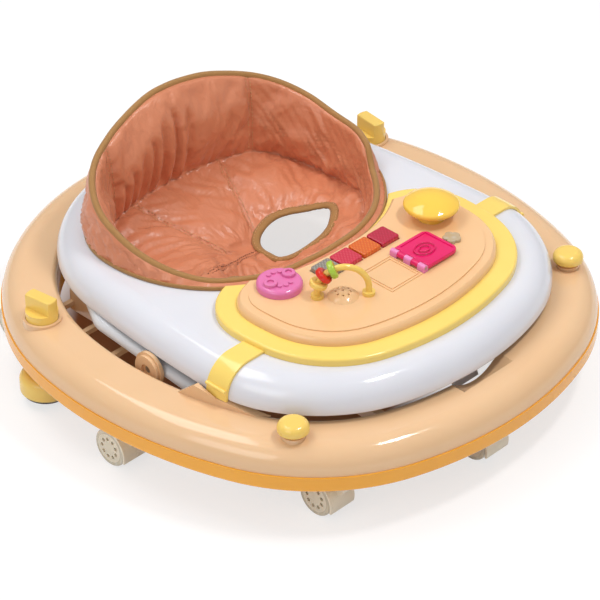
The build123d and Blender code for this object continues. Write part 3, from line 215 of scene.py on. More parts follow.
def satin(name, colour, deep):
    """Woven polyester satin over wadding: a twill line too fine to show, drawn 0.9 mm apart, a long sheen
    along each fold, and soft crumples where the wadding lets the cloth go slack."""
    material, tree, shader = new_material(name)
    place = add(tree, "ShaderNodeTexCoord").outputs["Object"]
    drift = add(tree, "ShaderNodeTexNoise", Vector=place, Scale=grain(DYE_DRIFT), Detail=4.0, Roughness=0.55)
    two_tone(tree, shader, drift.outputs[0], colour, deep)
    twill = add(tree, "ShaderNodeTexWave", {"bands_direction": "DIAGONAL"}, Vector=place, Scale=lines(TWILL),
                Distortion=1.5)
    crumple = add(tree, "ShaderNodeTexNoise", Vector=place, Scale=grain(SLACK_CRUMPLE), Detail=3.0,
                  Roughness=0.45, Distortion=0.9)
    fine = add(tree, "ShaderNodeBump", Height=twill.outputs[1], Strength=0.1, Distance=0.25 * MM)
    soft = add(tree, "ShaderNodeBump", Height=crumple.outputs[0], Strength=0.45, Distance=5 * MM,
               Normal=fine.outputs[0])
    tree.links.new(soft.outputs[0], shader.inputs["Normal"])
    shader.inputs["Roughness"].default_value = 0.34
    shader.inputs["IOR"].default_value = 1.54
    shader.inputs["Sheen Weight"].default_value = 0.45
    shader.inputs["Sheen Roughness"].default_value = 0.3
    shader.inputs["Sheen Tint"].default_value = linear("#ffd5c0")
    return material


cloth = satin("polyester_satin", "#da8c67", "#cd7d59")


def webbing(name, colour, deep, rib):
    """Woven grosgrain tape or thread: dull, with cross ribs."""
    material, tree, shader = new_material(name)
    place = add(tree, "ShaderNodeTexCoord").outputs["Object"]
    ribs = add(tree, "ShaderNodeTexWave", {"bands_direction": "DIAGONAL"}, Vector=place, Scale=lines(rib),
               Distortion=2.0)
    two_tone(tree, shader, ribs.outputs[1], colour, deep)
    bump = add(tree, "ShaderNodeBump", Height=ribs.outputs[1], Strength=0.3, Distance=0.4 * MM)
    tree.links.new(bump.outputs[0], shader.inputs["Normal"])
    shader.inputs["Roughness"].default_value = 0.65
    shader.inputs["Sheen Weight"].default_value = 0.2
    return material


tape_tan = webbing("grosgrain_tan", "#ae7f45", "#9c6f38", TAPE_RIB)
thread_sand = webbing("thread_sand", "#d6a876", "#c59463", THREAD_TWIST)
thread_brown = webbing("thread_brown", "#8a4a2c", "#7a3f24", THREAD_TWIST)


# Finishes of the rigid parts

def dress(material, *names):
    """Gives these nodes of the walker one finish all over."""
    for name in names:
        mesh = nodes[name].data
        mesh.materials.clear()
        mesh.materials.append(material)


CASTERS = range(1, 9)
dress(abs_peach, "base_ring", "pivot_discs")
dress(abs_panel, "toy_panel", "speaker_cover")
dress(abs_amber, "base_rim")
dress(pp_white, "upper_tray", "tray_rails", "frame_clamps", "height_lever")
dress(pp_cream, "caster_sockets", *[f"caster_fork_{n}" for n in CASTERS])
dress(abs_yellow, "brake_knob_left", "brake_knob_right", "brake_foot_left", "brake_foot_right",
      "stop_button_left", "stop_button_right", "bead_arch", "bead_yellow")
dress(abs_bezel, "toy_bezel")
dress(abs_dome, "push_dome")
dress(abs_pink, "dial")
dress(abs_light_pink, "book_spine")
dress(abs_magenta, "book_page")
dress(abs_green, "bead_green")
dress(abs_red, "bead_red")
dress(nylon_grey, "sound_box", "outer_shoes", "inner_shoes")
dress(rubber, "brake_pad_left", "brake_pad_right")
dress(powder_coat, "outer_frame", "inner_frame")
dress(steel, "pivot_bolts", "book_pin")
dress(lens_plastic, "flower_lens")
for number, material in enumerate(key_plastics, start=1):
    dress(material, f"key_{number}")

# A caster wheel is a cream hub with a clear tyre moulded round it
HUB = 17 * MM
AXLE = 2.2 * MM
for number in CASTERS:
    wheels = nodes[f"caster_wheels_{number}"]
    dress(pp_cream, wheels.name)
    wheels.data.materials.append(tyre_vinyl)
    low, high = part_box(wheels.name)
    middle = (low + high) / 2
    for face in wheels.data.polygons:
        reach = [(Vector(wheels.data.vertices[v].co) - middle).yz.length for v in face.vertices]
        if max(reach) > HUB + 0.5 * MM or min(reach) > HUB - 0.1 * MM:
            face.material_index = 1
    # The axle is a blackened screw, and only its ends show
    fork = nodes[f"caster_fork_{number}"]
    fork.data.materials.append(black_steel)
    for face in fork.data.polygons:
        if all((Vector(fork.data.vertices[v].co) - middle).yz.length < AXLE for v in face.vertices):
            face.material_index = 1


# Stage, light and camera

def mesh_object(name, points, faces, material, rounded=True):
    """An object made of points and faces, shaded as a rounded surface or as flat facets."""
    mesh = bpy.data.meshes.new(name)
    mesh.from_pydata(points, [], faces)
    mesh.materials.append(material)
    for face in mesh.polygons:
        face.use_smooth = rounded
    made = bpy.data.objects.new(name, mesh)
    bpy.context.collection.objects.link(made)
    return made


def seen(tree):
    """1 for what the camera sees straight, in a gloss or through a clear wall."""
    path = add(tree, "ShaderNodeLightPath").outputs
    either = add(tree, "ShaderNodeMath", {"operation": "MAXIMUM"}, _0=path["Is Camera Ray"],
                 _1=path["Is Glossy Ray"])
    return add(tree, "ShaderNodeMath", {"operation": "MAXIMUM"}, _0=either.outputs[0],
               _1=path["Is Transmission Ray"]).outputs[0]


# The oval of painted shade on the paper under the walker, its soft edge as shares of its halves, and the
# painted pool of light in it where the leg hole shows the floor
PAINTED_SHADE_MIDDLE = (-30 * MM, 55 * MM, 0)
PAINTED_SHADE_HALF = (200 * MM, 250 * MM, 1)
PAINTED_SHADE_FROM, PAINTED_SHADE_END = 0.84, 1.06
PAINTED_LIGHT_PATCH = (156 * MM, 152 * MM, 0)
PAINTED_LIGHT_OUTER, PAINTED_LIGHT_INNER = 130 * MM, 90 * MM
PAPER_GLOW = 0.68


def paper_with_painted_shade():
    """Matt paper, lit from below round the walker as on a light table, so that only a pale shadow is left
    there. Under the walker the glow is cut off and the paper is painted warm brown: painted shade standing
    for the light through the peach shells, with a painted pool of light where the leg hole shows the floor."""
    material, tree, shader = new_material("paper_painted_shade_and_light")
    shader.inputs["Base Color"].default_value = (0.8, 0.8, 0.8, 1)
    shader.inputs["Roughness"].default_value = 0.9
    place = add(tree, "ShaderNodeTexCoord").outputs["Object"]
    away = add(tree, "ShaderNodeMapping", {"vector_type": "TEXTURE"}, Vector=place, Location=PAINTED_SHADE_MIDDLE,
               Scale=PAINTED_SHADE_HALF)
    share = add(tree, "ShaderNodeVectorMath", {"operation": "LENGTH"}, _0=away.outputs[0]).outputs["Value"]
    around = add(tree, "ShaderNodeMapRange", Value=share, _1=PAINTED_SHADE_FROM, _2=PAINTED_SHADE_END)
    patch = add(tree, "ShaderNodeVectorMath", {"operation": "DISTANCE"}, _0=place, _1=PAINTED_LIGHT_PATCH)
    painted_pool = add(tree, "ShaderNodeMapRange", Value=patch.outputs["Value"], _1=PAINTED_LIGHT_OUTER, _2=PAINTED_LIGHT_INNER)
    lit = add(tree, "ShaderNodeMath", {"operation": "MAXIMUM"}, _0=around.outputs[0], _1=painted_pool.outputs[0])
    # Warm brown is the painted shade under the walker; grey with the glow is the paper round it and the
    # painted pool of light
    painted_shade_tint = add(tree, "ShaderNodeMix", {"data_type": "RGBA"}, _0=lit.outputs[0], _6=linear("#b98762"),
                _7=linear("#a29f9e"))
    dim = add(tree, "ShaderNodeBsdfDiffuse", Color=painted_shade_tint.outputs[2])
    level = add(tree, "ShaderNodeMath", {"operation": "MULTIPLY"}, _0=lit.outputs[0], _1=PAPER_GLOW)
    glow = add(tree, "ShaderNodeEmission", Strength=level.outputs[0])
    glowing = add(tree, "ShaderNodeAddShader", _0=dim.outputs[0], _1=glow.outputs[0])
    mix = add(tree, "ShaderNodeMixShader", _0=seen(tree), _1=shader.outputs[0], _2=glowing.outputs[0])
    out = next(node for node in tree.nodes if node.type == "OUTPUT_MATERIAL")
    tree.links.new(mix.outputs[0], out.inputs[0])
    return material


FLOOR_HALF = 6.0
floor_corners = [(x * FLOOR_HALF, y * FLOOR_HALF, 0) for x, y in ((-1, -1), (1, -1), (1, 1), (-1, 1))]
floor = mesh_object("floor", floor_corners, [(0, 1, 2, 3)], paper_with_painted_shade(), rounded=False)
floor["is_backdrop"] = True


WALLS_LOW, WALLS_HIGH = 0.32, 0.66


def studio():
    """White studio walls that are brighter overhead; what the camera sees of them is plain white."""
    world = bpy.data.worlds.new("studio")
    world.use_nodes = True
    tree = world.node_tree
    tree.nodes.clear()
    way = add(tree, "ShaderNodeSeparateXYZ", Vector=add(tree, "ShaderNodeTexCoord").outputs["Generated"])
    level = add(tree, "ShaderNodeMapRange", Value=way.outputs[2], _1=-0.1, _2=1.0, _3=WALLS_LOW,
                _4=WALLS_HIGH)
    walls = add(tree, "ShaderNodeBackground", Color=(1, 1, 1, 1), Strength=level.outputs[0])
    plain = add(tree, "ShaderNodeBackground", Color=(1, 1, 1, 1))
    camera_ray = add(tree, "ShaderNodeLightPath").outputs["Is Camera Ray"]
    mix = add(tree, "ShaderNodeMixShader", _0=camera_ray, _1=walls.outputs[0], _2=plain.outputs[0])
    out = add(tree, "ShaderNodeOutputWorld")
    tree.links.new(mix.outputs[0], out.inputs[0])
    return world


bpy.context.scene.world = studio()


LAMP_AIM = (0, 0, 0.1)


def softbox(name, place, size, power):
    """A flat lamp aimed at the walker."""
    lamp = bpy.data.lights.new(name, "AREA")
    lamp.shape = "RECTANGLE"
    lamp.size, lamp.size_y = size
    lamp.energy = power
    made = bpy.data.objects.new(name, lamp)
    made.location = place
    made.rotation_euler = (Vector(LAMP_AIM) - Vector(place)).to_track_quat("-Z", "Y").to_euler()
    bpy.context.collection.objects.link(made)


softbox("key_overhead", (-0.5, 0.7, 2.0), (1.3, 0.8), 13)
softbox("front_window", (0.35, -0.75, 1.9), (0.44, 0.2), 13)
softbox("fill_left", (-2.0, -0.3, 1.3), (1.2, 0.9), 8)

# The lens and the place are worked out from the picture's perspective: about 3.1 m away, a long lens
CAMERA_PLACE = Vector((-1.8349, -1.8071, 1.8622))
CAMERA_AIM = Vector((-0.0234, -0.0303, 0.0918))
LENS, SENSOR = 167.9, 36
camera = bpy.data.cameras.new("camera")
camera.lens = LENS
camera.sensor_width = SENSOR
camera_object = bpy.data.objects.new("camera", camera)
camera_object.location = CAMERA_PLACE
camera_object.rotation_euler = (CAMERA_AIM - camera_object.location).to_track_quat("-Z", "Y").to_euler()
bpy.context.collection.objects.link(camera_object)
bpy.context.scene.camera = camera_object
bpy.context.scene.view_settings.view_transform = "Standard"


# The seat's outline: the tray's opening as arcs, and the heights of its rim and its inner seam

OPENING_FRONT, OPENING_BACK = 52.8 * MM, 212.0 * MM
OPENING_HALF_WIDTH, OPENING_WIDEST_Y = 175.3 * MM, 102.0 * MM
FRONT_RADIUS, SIDE_RADIUS, BACK_RADIUS = 341.0 * MM, 258.0 * MM, 357.0 * MM
FRONT_CORNER, BACK_CORNER = 152.0 * MM, 88.5 * MM
TRAY_TOP = 150.0 * MM


def corner_centre(one, one_reach, two, two_reach):
    """The outer one of the two points that are these distances from two centres."""
    gap = two - one
    along = (one_reach ** 2 - two_reach ** 2 + gap.length ** 2) / (2 * gap.length)
    across = math.sqrt(one_reach ** 2 - along ** 2)
    unit = gap.normalized()
    foot = one + unit * along
    side = Vector((-unit.y, unit.x)) * across
    return max(foot + side, foot - side, key=lambda p: p.x)


def angle(centre, towards):
    """The direction from a centre to a plan point."""
    d = towards - centre
    return math.atan2(d.y, d.x)


def opening_arcs():
    """The opening's +X half: arcs from front to back, as (centre, radius, start angle, end angle)."""
    front = Vector((0, FRONT_RADIUS - OPENING_FRONT))
    side = Vector((OPENING_HALF_WIDTH - SIDE_RADIUS, OPENING_WIDEST_Y))
    back = Vector((0, OPENING_BACK - BACK_RADIUS))
    one = corner_centre(front, FRONT_RADIUS - FRONT_CORNER, side, SIDE_RADIUS - FRONT_CORNER)
    two = corner_centre(back, BACK_RADIUS - BACK_CORNER, side, SIDE_RADIUS - BACK_CORNER)
    turns = [-math.pi / 2, angle(front, one), angle(side, one), angle(side, two), angle(back, two),
             math.pi / 2]
    return [(front, FRONT_RADIUS, turns[0], turns[1]), (one, FRONT_CORNER, turns[1], turns[2]),
            (side, SIDE_RADIUS, turns[2], turns[3]), (two, BACK_CORNER, turns[3], turns[4]),
            (back, BACK_RADIUS, turns[4], turns[5])]


ARCS = opening_arcs()
LENGTHS = [radius * (end - start) for _, radius, start, end in ARCS]


def opening(turn, inset=0.0):
    """A point of the opening and its outward normal. Turn -1 and 1 are the back, 0 the front."""
    left = abs(turn) * sum(LENGTHS)
    for (centre, radius, start, end), length in zip(ARCS, LENGTHS):
        if left <= length or length == LENGTHS[-1]:
            a = start + (end - start) * min(1.0, left / length)
            out = Vector((math.cos(a), math.sin(a)))
            p = centre + out * (radius - inset)
            break
        left -= length
    side = -1 if turn < 0 else 1
    return Vector((side * p.x, p.y)), Vector((side * out.x, out.y))


def smooth(x):
    """0 below 0, 1 above 1, and an easy slope between."""
    x = max(0.0, min(1.0, x))
    return x * x * (3 - 2 * x)


def bell(x):
    """1 at 0, fading to nothing by about 2 on either side."""
    return math.exp(-x * x)


# Columns of cloth round the seat, and the turn at which the back panel is sewn to a side panel
AROUND = 320
PANEL_SEAM = 0.77
SEAM_WIDTH, SEAM_COLUMN = 0.014, 0.0035
# Heights in millimetres of the rim and the inner seam, at the front and towards the back
RIM_FRONT, RIM_CLIMB, LEFT_ARM_LIFT, RIM_WAVER = 158, 102, 17, 1.2
SEAM_FRONT, SEAM_BACK_LIFT, SEAM_FRONT_LIFT = 113, 24, 12


def turn_of(column):
    """The turn round the opening of one column of cloth."""
    return -1 + 2 * (column % AROUND) / AROUND


def rim_height(turn):
    """The rim climbs from the tray to the back. The left arm stands up further forward than the right."""
    s = abs(turn)
    height = RIM_FRONT + RIM_CLIMB * smooth((s - 0.25) / 0.75)
    if turn > 0:
        height += LEFT_ARM_LIFT * smooth((s - 0.355) / 0.045) * smooth((0.58 - s) / 0.16)
    return (height + RIM_WAVER * noise.noise(Vector((turn * 11, 0, 5)))) * MM


def seam_height(turn):
    """The seam between band and bowl lies lowest at the hips, and rises to the back and to the front."""
    s = abs(turn)
    back, front = smooth((s - 0.56) / 0.26), smooth((0.5 - s) / 0.14)
    return (SEAM_FRONT + SEAM_BACK_LIFT * back + SEAM_FRONT_LIFT * front) * MM


def seam_slack(turn):
    """0 on the seam beside the back panel, 1 away from it."""
    return 1 - bell((abs(turn) - PANEL_SEAM) / SEAM_WIDTH)


# The padded inside of the seat: an upper band of three panels, then a bowl with two leg holes.
# The bowl's middle panel ends in a hem that is hitched up towards the right

MIDDLE = Vector((0.0, 62 * MM))
MIDDLE_Z = 88 * MM
# Each leg hole's middle, long half, short half and turn
LEFT_LEG = (Vector((62 * MM, 60 * MM)), 46 * MM, 36 * MM, 0.0)
RIGHT_LEG = (Vector((-66 * MM, 2 * MM)), 40 * MM, 25 * MM, math.radians(17))
LEGS = (LEFT_LEG, RIGHT_LEG)
HEM = [Vector((26 * MM, 75 * MM)), Vector((-25 * MM, 62 * MM)), Vector((-98 * MM, 37 * MM)),
       Vector((-150 * MM, 20 * MM))]
HEM_LIFT = (0.0, 13 * MM, 19 * MM, 4 * MM)
LIFT_BEHIND, LIFT_BEFORE = 75 * MM, 24 * MM
SLANT = [Vector((67 * MM, 191 * MM)), Vector((25 * MM, 80 * MM))]
BAND_ROWS, BOWL_ROWS = 26, 36
RIM_INSET, WALL_INSET = 4.5 * MM, 14 * MM
RIM_HALF, TUCK = 3.2 * MM, 0.6 * MM
UNDER_TAPE = 3 * MM
FOLD_DEPTH, SIDE_PULL, SEAM_PUCKER = 5.0 * MM, 5.0 * MM, 3.0 * MM
# Upright folds of the back panel: place round the rim, width, and how far down the band each one starts
BACK_FOLDS = ((-0.995, 0.010, 0.14), (-0.950, 0.011, 0.20), (-0.912, 0.009, 0.28), (-0.874, 0.012, 0.34),
              (-0.838, 0.009, 0.42), (-0.805, 0.008, 0.50), (0.965, 0.012, 0.18))


def from_line(p, line):
    """How far a plan point is behind a line that runs across the seat, and how many corners along."""
    best = (9.0, 0.0)
    for index, (one, two) in enumerate(zip(line, line[1:])):
        along = two - one
        t = max(0.0, min(1.0, (p - one).dot(along) / along.length_squared))
        off = p - one - along * t
        if off.length < abs(best[0]):
            best = (math.copysign(off.length, off.y), index + t)
    return best


def hem_lift(p):
    """How far the hitched-up hem raises the bowl at a plan point."""
    away, along = from_line(p, HEM)
    index = min(int(along), len(HEM_LIFT) - 2)
    lift = HEM_LIFT[index] + (HEM_LIFT[index + 1] - HEM_LIFT[index]) * smooth(along - index)
    return lift * bell(away / (LIFT_BEHIND if away > 0 else LIFT_BEFORE))


def from_slant(p):
    """Distance in plan from the slanted seam between the seat's middle panel and its side panel."""
    return abs(from_line(Vector((abs(p.x), p.y)), SLANT)[0])


def crumple(turn, w, seed, slope):
    """Sharp little pulls in slack cloth, between -0.5 and 0.5."""
    return 0.5 - abs(noise.noise(Vector((turn * 34 + w * slope, w * 2.6, seed)))) * 1.6


def folds(turn, w):
    """How deep the band's folds and pulls go."""
    depth = 0.0
    for place, width, top in BACK_FOLDS:
        away = (turn - place) / width
        reach = smooth((w - top) / 0.18) * smooth((1.0 - w) / 0.10)
        depth += FOLD_DEPTH * reach * (bell(away) - 0.6 * bell(away - 1.9))
    side = smooth((PANEL_SEAM - abs(turn)) / 0.04) * smooth((abs(turn) - 0.3) / 0.08)
    depth += SIDE_PULL * side * crumple(turn, w, 3.0, 7.0 if turn > 0 else -9.0) * math.sin(math.pi * w)
    pucker = bell((1.0 - w) / 0.16) * noise.noise(Vector((turn * 75, w * 1.5, 12.0)))
    return depth + SEAM_PUCKER * pucker


def band_point(turn, w):
    """The band at a share of the way down from the rim to the inner seam."""
    top, bottom = rim_height(turn) - UNDER_TAPE, seam_height(turn)
    start = RIM_INSET + RIM_HALF - TUCK
    place, out = opening(turn, start + (WALL_INSET - start) * w)
    seam = seam_slack(turn)
    puff = (4 * MM + 0.085 * (top - bottom)) * math.sin(math.pi * w ** 0.85) ** 0.7 * (0.3 + 0.7 * seam)
    place = place - out * (puff - folds(turn, w) * (0.2 + 0.8 * seam))
    return Vector((place.x, place.y, top + (bottom - top) * w))


def in_leg(p, leg):
    """A plan point along a leg hole's long and short axes, as shares of their halves."""
    middle, long_half, short_half, turned = leg
    d = Vector((p.x, p.y)) - middle
    along = d.x * math.cos(turned) + d.y * math.sin(turned)
    across = d.y * math.cos(turned) - d.x * math.sin(turned)
    return along / long_half, across / short_half


def leg_edge(leg, a):
    """Plan point of a leg hole's edge: an oval pulled a little into corners by the cloth."""
    middle, long_half, short_half, turned = leg
    size = 1 + 0.05 * math.cos(3 * a + 0.6) + 0.03 * math.cos(5 * a)
    x, y = long_half * size * math.cos(a), short_half * size * math.sin(a)
    cos, sin = math.cos(turned), math.sin(turned)
    return middle + Vector((x * cos - y * sin, x * sin + y * cos))


def leg_angle(p, leg):
    """Where a plan point lies round a leg hole."""
    along, across = in_leg(p, leg)
    return math.atan2(across, along)


def leg_share(p, leg):
    """Under 1 inside a leg hole, over 1 outside it."""
    edge = leg_edge(leg, leg_angle(p, leg))
    return (Vector((p.x, p.y)) - leg[0]).length / (edge - leg[0]).length


# How far the bowl's rows run in towards the middle, and how it swells, pulls and droops
REACH_IN = 0.985
BOWL_PUFF, BOWL_PULL, BOWL_GATHER, RIGHT_DROOP = 6 * MM, 4.5 * MM, 2.5 * MM, 9 * MM


def bowl_height(place, turn, reach):
    """Height of the bowl at a share of the way from its middle to the inner seam."""
    w = (1 - reach) / REACH_IN
    height = MIDDLE_Z + (seam_height(turn) - MIDDLE_Z) * reach ** 1.5
    puff = BOWL_PUFF * math.sin(math.pi * min(1.0, w * 1.25)) ** 0.8 * (0.4 + 0.6 * reach)
    calm = min(smooth((leg_share(place, leg) - 1) / 0.4) for leg in LEGS)
    slack = smooth(w / 0.12) * smooth((reach - 0.12) / 0.3) * calm
    pull = crumple(turn * 0.6, w * 1.4, 21.0, 5.0) * (0.5 + 0.5 * smooth((PANEL_SEAM - abs(turn)) / 0.1))
    gather = bell(w / 0.07) * noise.noise(Vector((turn * 75, w * 2.0, 12.0)))
    lift = hem_lift(place) * (1 - bell((1 - reach) / 0.25))
    lift -= RIGHT_DROOP * smooth((1.8 - leg_share(place, RIGHT_LEG)) / 0.8)
    return height + puff + lift + BOWL_PULL * slack * pull + BOWL_GATHER * gather


def bowl_point(turn, w):
    """The bowl at a share of the way in from the inner seam to the middle."""
    reach = 1 - REACH_IN * w
    edge, _ = opening(turn, WALL_INSET)
    place = MIDDLE + (edge - MIDDLE) * reach
    return Vector((place.x, place.y, bowl_height(place, turn, reach)))


def bowl_above(p):
    """The bowl's surface at a plan point."""
    way = p - MIDDLE
    far = [(opening(turn_of(c), WALL_INSET)[0] - MIDDLE, turn_of(c)) for c in range(0, AROUND, 2)]
    edge, turn = max(far, key=lambda f: f[0].dot(way) / f[0].length)
    reach = min(1.0, way.length / edge.length)
    return Vector((p.x, p.y, bowl_height(p, turn, reach)))


def inner_point(turn, row):
    """A point of the inside by its row, from the rim down the band and in across the bowl."""
    if row <= BAND_ROWS:
        return band_point(turn, row / BAND_ROWS)
    return bowl_point(turn, (row - BAND_ROWS) / BOWL_ROWS)


def ring_faces(rows, flip=False):
    """Faces between rings of AROUND points."""
    faces = []
    for r in range(rows):
        for c in range(AROUND):
            a, b = r * AROUND + c, r * AROUND + (c + 1) % AROUND
            faces.append((b, a, a + AROUND, b + AROUND) if flip else (a, b, b + AROUND, a + AROUND))
    return faces


SEWN_REACH = 2.0 * MM
SLANT_DIP, HEM_DIP = 2.5 * MM, 1.5 * MM


def seat_inside():
    """The inside as one mesh, and the points that are sewn down."""
    rows = BAND_ROWS + BOWL_ROWS
    points = [inner_point(turn_of(c), r) for r in range(rows + 1) for c in range(AROUND)]
    faces = ring_faces(rows)
    faces.append(tuple(rows * AROUND + c for c in range(AROUND)))
    made = mesh_object("seat_inside", points, faces, cloth)
    work = bmesh.new()
    work.from_mesh(made.data)
    work.verts.ensure_lookup_table()
    row_of = {v: v.index // AROUND for v in work.verts}
    turn = {v: turn_of(v.index % AROUND) for v in work.verts}
    holes = [f for f in work.faces if min(row_of[v] for v in f.verts) > BAND_ROWS
             and any(leg_share(f.calc_center_median(), leg) < 1 for leg in LEGS)]
    bmesh.ops.delete(work, geom=holes, context="FACES")
    sewn = []
    for v in work.verts:
        row = row_of[v]
        if v.is_boundary and row > BAND_ROWS:
            leg = LEFT_LEG if v.co.x > 0 else RIGHT_LEG
            edge = leg_edge(leg, leg_angle(v.co, leg))
            v.co = bowl_above(edge)
            sewn.append(v)
        elif row in (0, 1, BAND_ROWS):
            sewn.append(v)
        elif row < BAND_ROWS and abs(abs(turn[v]) - PANEL_SEAM) < SEAM_COLUMN:
            sewn.append(v)
        elif row > BAND_ROWS and from_slant(v.co) < SEWN_REACH:
            v.co.z -= SLANT_DIP
            sewn.append(v)
        elif row > BAND_ROWS and abs(from_line(v.co.xy, HEM)[0]) < SEWN_REACH:
            v.co.z -= HEM_DIP
            sewn.append(v)
    bmesh.ops.recalc_face_normals(work, faces=work.faces)
    if sum(f.normal.z for f in work.faces) < 0:
        bmesh.ops.reverse_faces(work, faces=work.faces)
    work.verts.index_update()
    sewn = [v.index for v in sewn]
    work.to_mesh(made.data)
    work.free()
    for face in made.data.polygons:
        face.use_smooth = True
    return made, sewn


def simulate(made, sewn, pressure, slack, frames, cap):
    """Inflates the cloth between its sewn lines and keeps the shape. No point moves further than the cap."""
    start = [v.co.copy() for v in made.data.vertices]
    made.vertex_groups.new(name="sewn").add(sewn, 1.0, "REPLACE")
    modifier = made.modifiers.new("cloth", "CLOTH")
    s = modifier.settings
    s.vertex_group_mass = "sewn"
    s.quality = 5
    s.mass = 0.15
    s.tension_stiffness = s.compression_stiffness = 15
    s.shear_stiffness = 5
    s.bending_stiffness = 0.03
    s.air_damping = 2.0
    s.use_pressure = True
    s.uniform_pressure_force = pressure
    s.shrink_min = -slack
    s.effector_weights.gravity = 0
    scene = bpy.context.scene
    for step in range(1, frames + 1):
        scene.frame_set(step)
    ready = made.evaluated_get(bpy.context.evaluated_depsgraph_get())
    moved = [v.co.copy() for v in ready.data.vertices]
    made.modifiers.remove(modifier)
    made.vertex_groups.clear()
    scene.frame_set(1)
    for v, was, now in zip(made.data.vertices, start, moved):
        step = now - was
        v.co = was + (step * (cap / step.length) if step.length > cap else step)


# The outside of the seat: from the rim down to a hem tape on the tray

OUTER_ROWS = 18
HEM_INSET = -6 * MM
HEM_GAP = 1.5 * MM
OUTER_CREASE = 3.0
FULL_CREASE_AT = 40 * MM


def outer_point(turn, row):
    """A point of the outside by its row, from the rim down to the hem."""
    w = row / OUTER_ROWS
    top, bottom = rim_height(turn) - UNDER_TAPE, TRAY_TOP + HEM_GAP
    start = RIM_INSET - RIM_HALF + TUCK
    place, out = opening(turn, start + (HEM_INSET - start) * w)
    seam = seam_slack(turn)
    puff = (1 * MM + 0.06 * (top - bottom)) * math.sin(math.pi * w) ** 0.7 * (0.4 + 0.6 * seam)
    tall = min(1.0, (top - bottom) / FULL_CREASE_AT)
    pull = crumple(turn * 1.6, w, 8.0, -6.0 if turn < 0 else 6.0)
    crease = pull * OUTER_CREASE * MM * math.sin(math.pi * w) * tall
    place = place + out * (puff + crease)
    return Vector((place.x, place.y, top + (bottom - top) * w))


def seat_outside():
    """The outside as one mesh, and the points that are sewn down."""
    points = [outer_point(turn_of(c), r) for r in range(OUTER_ROWS + 1) for c in range(AROUND)]
    made = mesh_object("seat_outside", points, ring_faces(OUTER_ROWS, True), cloth)
    sewn = [v.index for v in made.data.vertices if v.index // AROUND in (0, 1, 2, OUTER_ROWS)
            or abs(abs(turn_of(v.index % AROUND)) - PANEL_SEAM) < SEAM_COLUMN]
    return made, sewn


inside, inside_sewn = seat_inside()
simulate(inside, inside_sewn, pressure=1.6, slack=0.04, frames=20, cap=7 * MM)
outside, outside_sewn = seat_outside()
simulate(outside, outside_sewn, pressure=0.8, slack=0.04, frames=14, cap=4 * MM)


# Tapes and threads

def swept(name, path, frames, profile, material):
    """A closed ring: the profile, as (across, up) pairs, carried round a closed path with its own frames."""
    points, faces = [], []
    count, wide = len(path), len(profile)
    for p, (across, up) in zip(path, frames):
        points += [p + across * a + up * b for a, b in profile]
    for i in range(count):
        for j in range(wide):
            a, b = i * wide, ((i + 1) % count) * wide
            k = (j + 1) % wide
            faces.append((a + j, a + k, b + k, b + j))
    return mesh_object(name, points, faces, material)


# A stitch's corners round it, and its rings as shares of its length and its radius
STITCH_SIDES = 6
STITCH_RINGS = ((-0.5, 0.35), (-0.32, 0.9), (0.0, 1.0), (0.32, 0.9), (0.5, 0.35))


def stitches(name, runs, length, gap, radius, material):
    """Thread: short rounded dashes along lines of points, each with the direction that it stands out in."""
    points, faces = [], []
    for run in runs:
        left = gap
        for (one, out), (two, _) in zip(run, run[1:]):
            step = two - one
            at = left
            while at < step.length:
                along = step.normalized()
                side = along.cross(out).normalized()
                base = len(points)
                for share, size in STITCH_RINGS:
                    middle = one + along * (at + share * length) + out * radius * (size - 0.4)
                    for corner in range(STITCH_SIDES):
                        a = corner * 2 * math.pi / STITCH_SIDES
                        points.append(middle + (side * math.cos(a) + out * math.sin(a)) * radius * size)
                for ring in range(len(STITCH_RINGS) - 1):
                    for corner in range(STITCH_SIDES):
                        a = base + ring * STITCH_SIDES + corner
                        b = base + ring * STITCH_SIDES + (corner + 1) % STITCH_SIDES
                        faces.append((a, b, b + STITCH_SIDES, a + STITCH_SIDES))
                faces.append(tuple(base + corner for corner in reversed(range(STITCH_SIDES))))
                last = base + (len(STITCH_RINGS) - 1) * STITCH_SIDES
                faces.append(tuple(last + corner for corner in range(STITCH_SIDES)))
                at += length + gap
            left = at - step.length
    return mesh_object(name, points, faces, material)


inside_surface = BVHTree.FromPolygons([v.co for v in inside.data.vertices],
                                      [tuple(f.vertices) for f in inside.data.polygons])


def on_cloth(p):
    """The nearest point of the seat's inside, with the direction that stands out of it."""
    place, normal, _, _ = inside_surface.find_nearest(p)
    return place, normal


def seam_run(line, shift, steps):
    """Points on the cloth beside a plan line, shifted sideways."""
    run = []
    for one, two in zip(line, line[1:]):
        along = (two - one).normalized()
        side = Vector((-along.y, along.x)) * shift
        run += [on_cloth(bowl_above(one + (two - one) * (k / steps) + side)) for k in range(steps)]
    return run


HEM_TAPE_LIFT = 1.2 * MM
RIM_STITCH_OUT, RIM_STITCH_DOWN = 3.6 * MM, 5.8 * MM
LEG_STITCH_OUT, LEG_STITCH_UP = 6.4 * MM, 1.9 * MM


def in_mm(pairs):
    """A tape's section, written in millimetres."""
    return [(a * MM, b * MM) for a, b in pairs]


rim_path, rim_frames, hem_path = [], [], []
for column in range(AROUND):
    place, out = opening(turn_of(column), RIM_INSET)
    rim_path.append(Vector((place.x, place.y, rim_height(turn_of(column)))))
    rim_frames.append((Vector((out.x, out.y, 0)), UP))
    place, _ = opening(turn_of(column), HEM_INSET)
    hem_path.append(Vector((place.x, place.y, TRAY_TOP + HEM_TAPE_LIFT)))
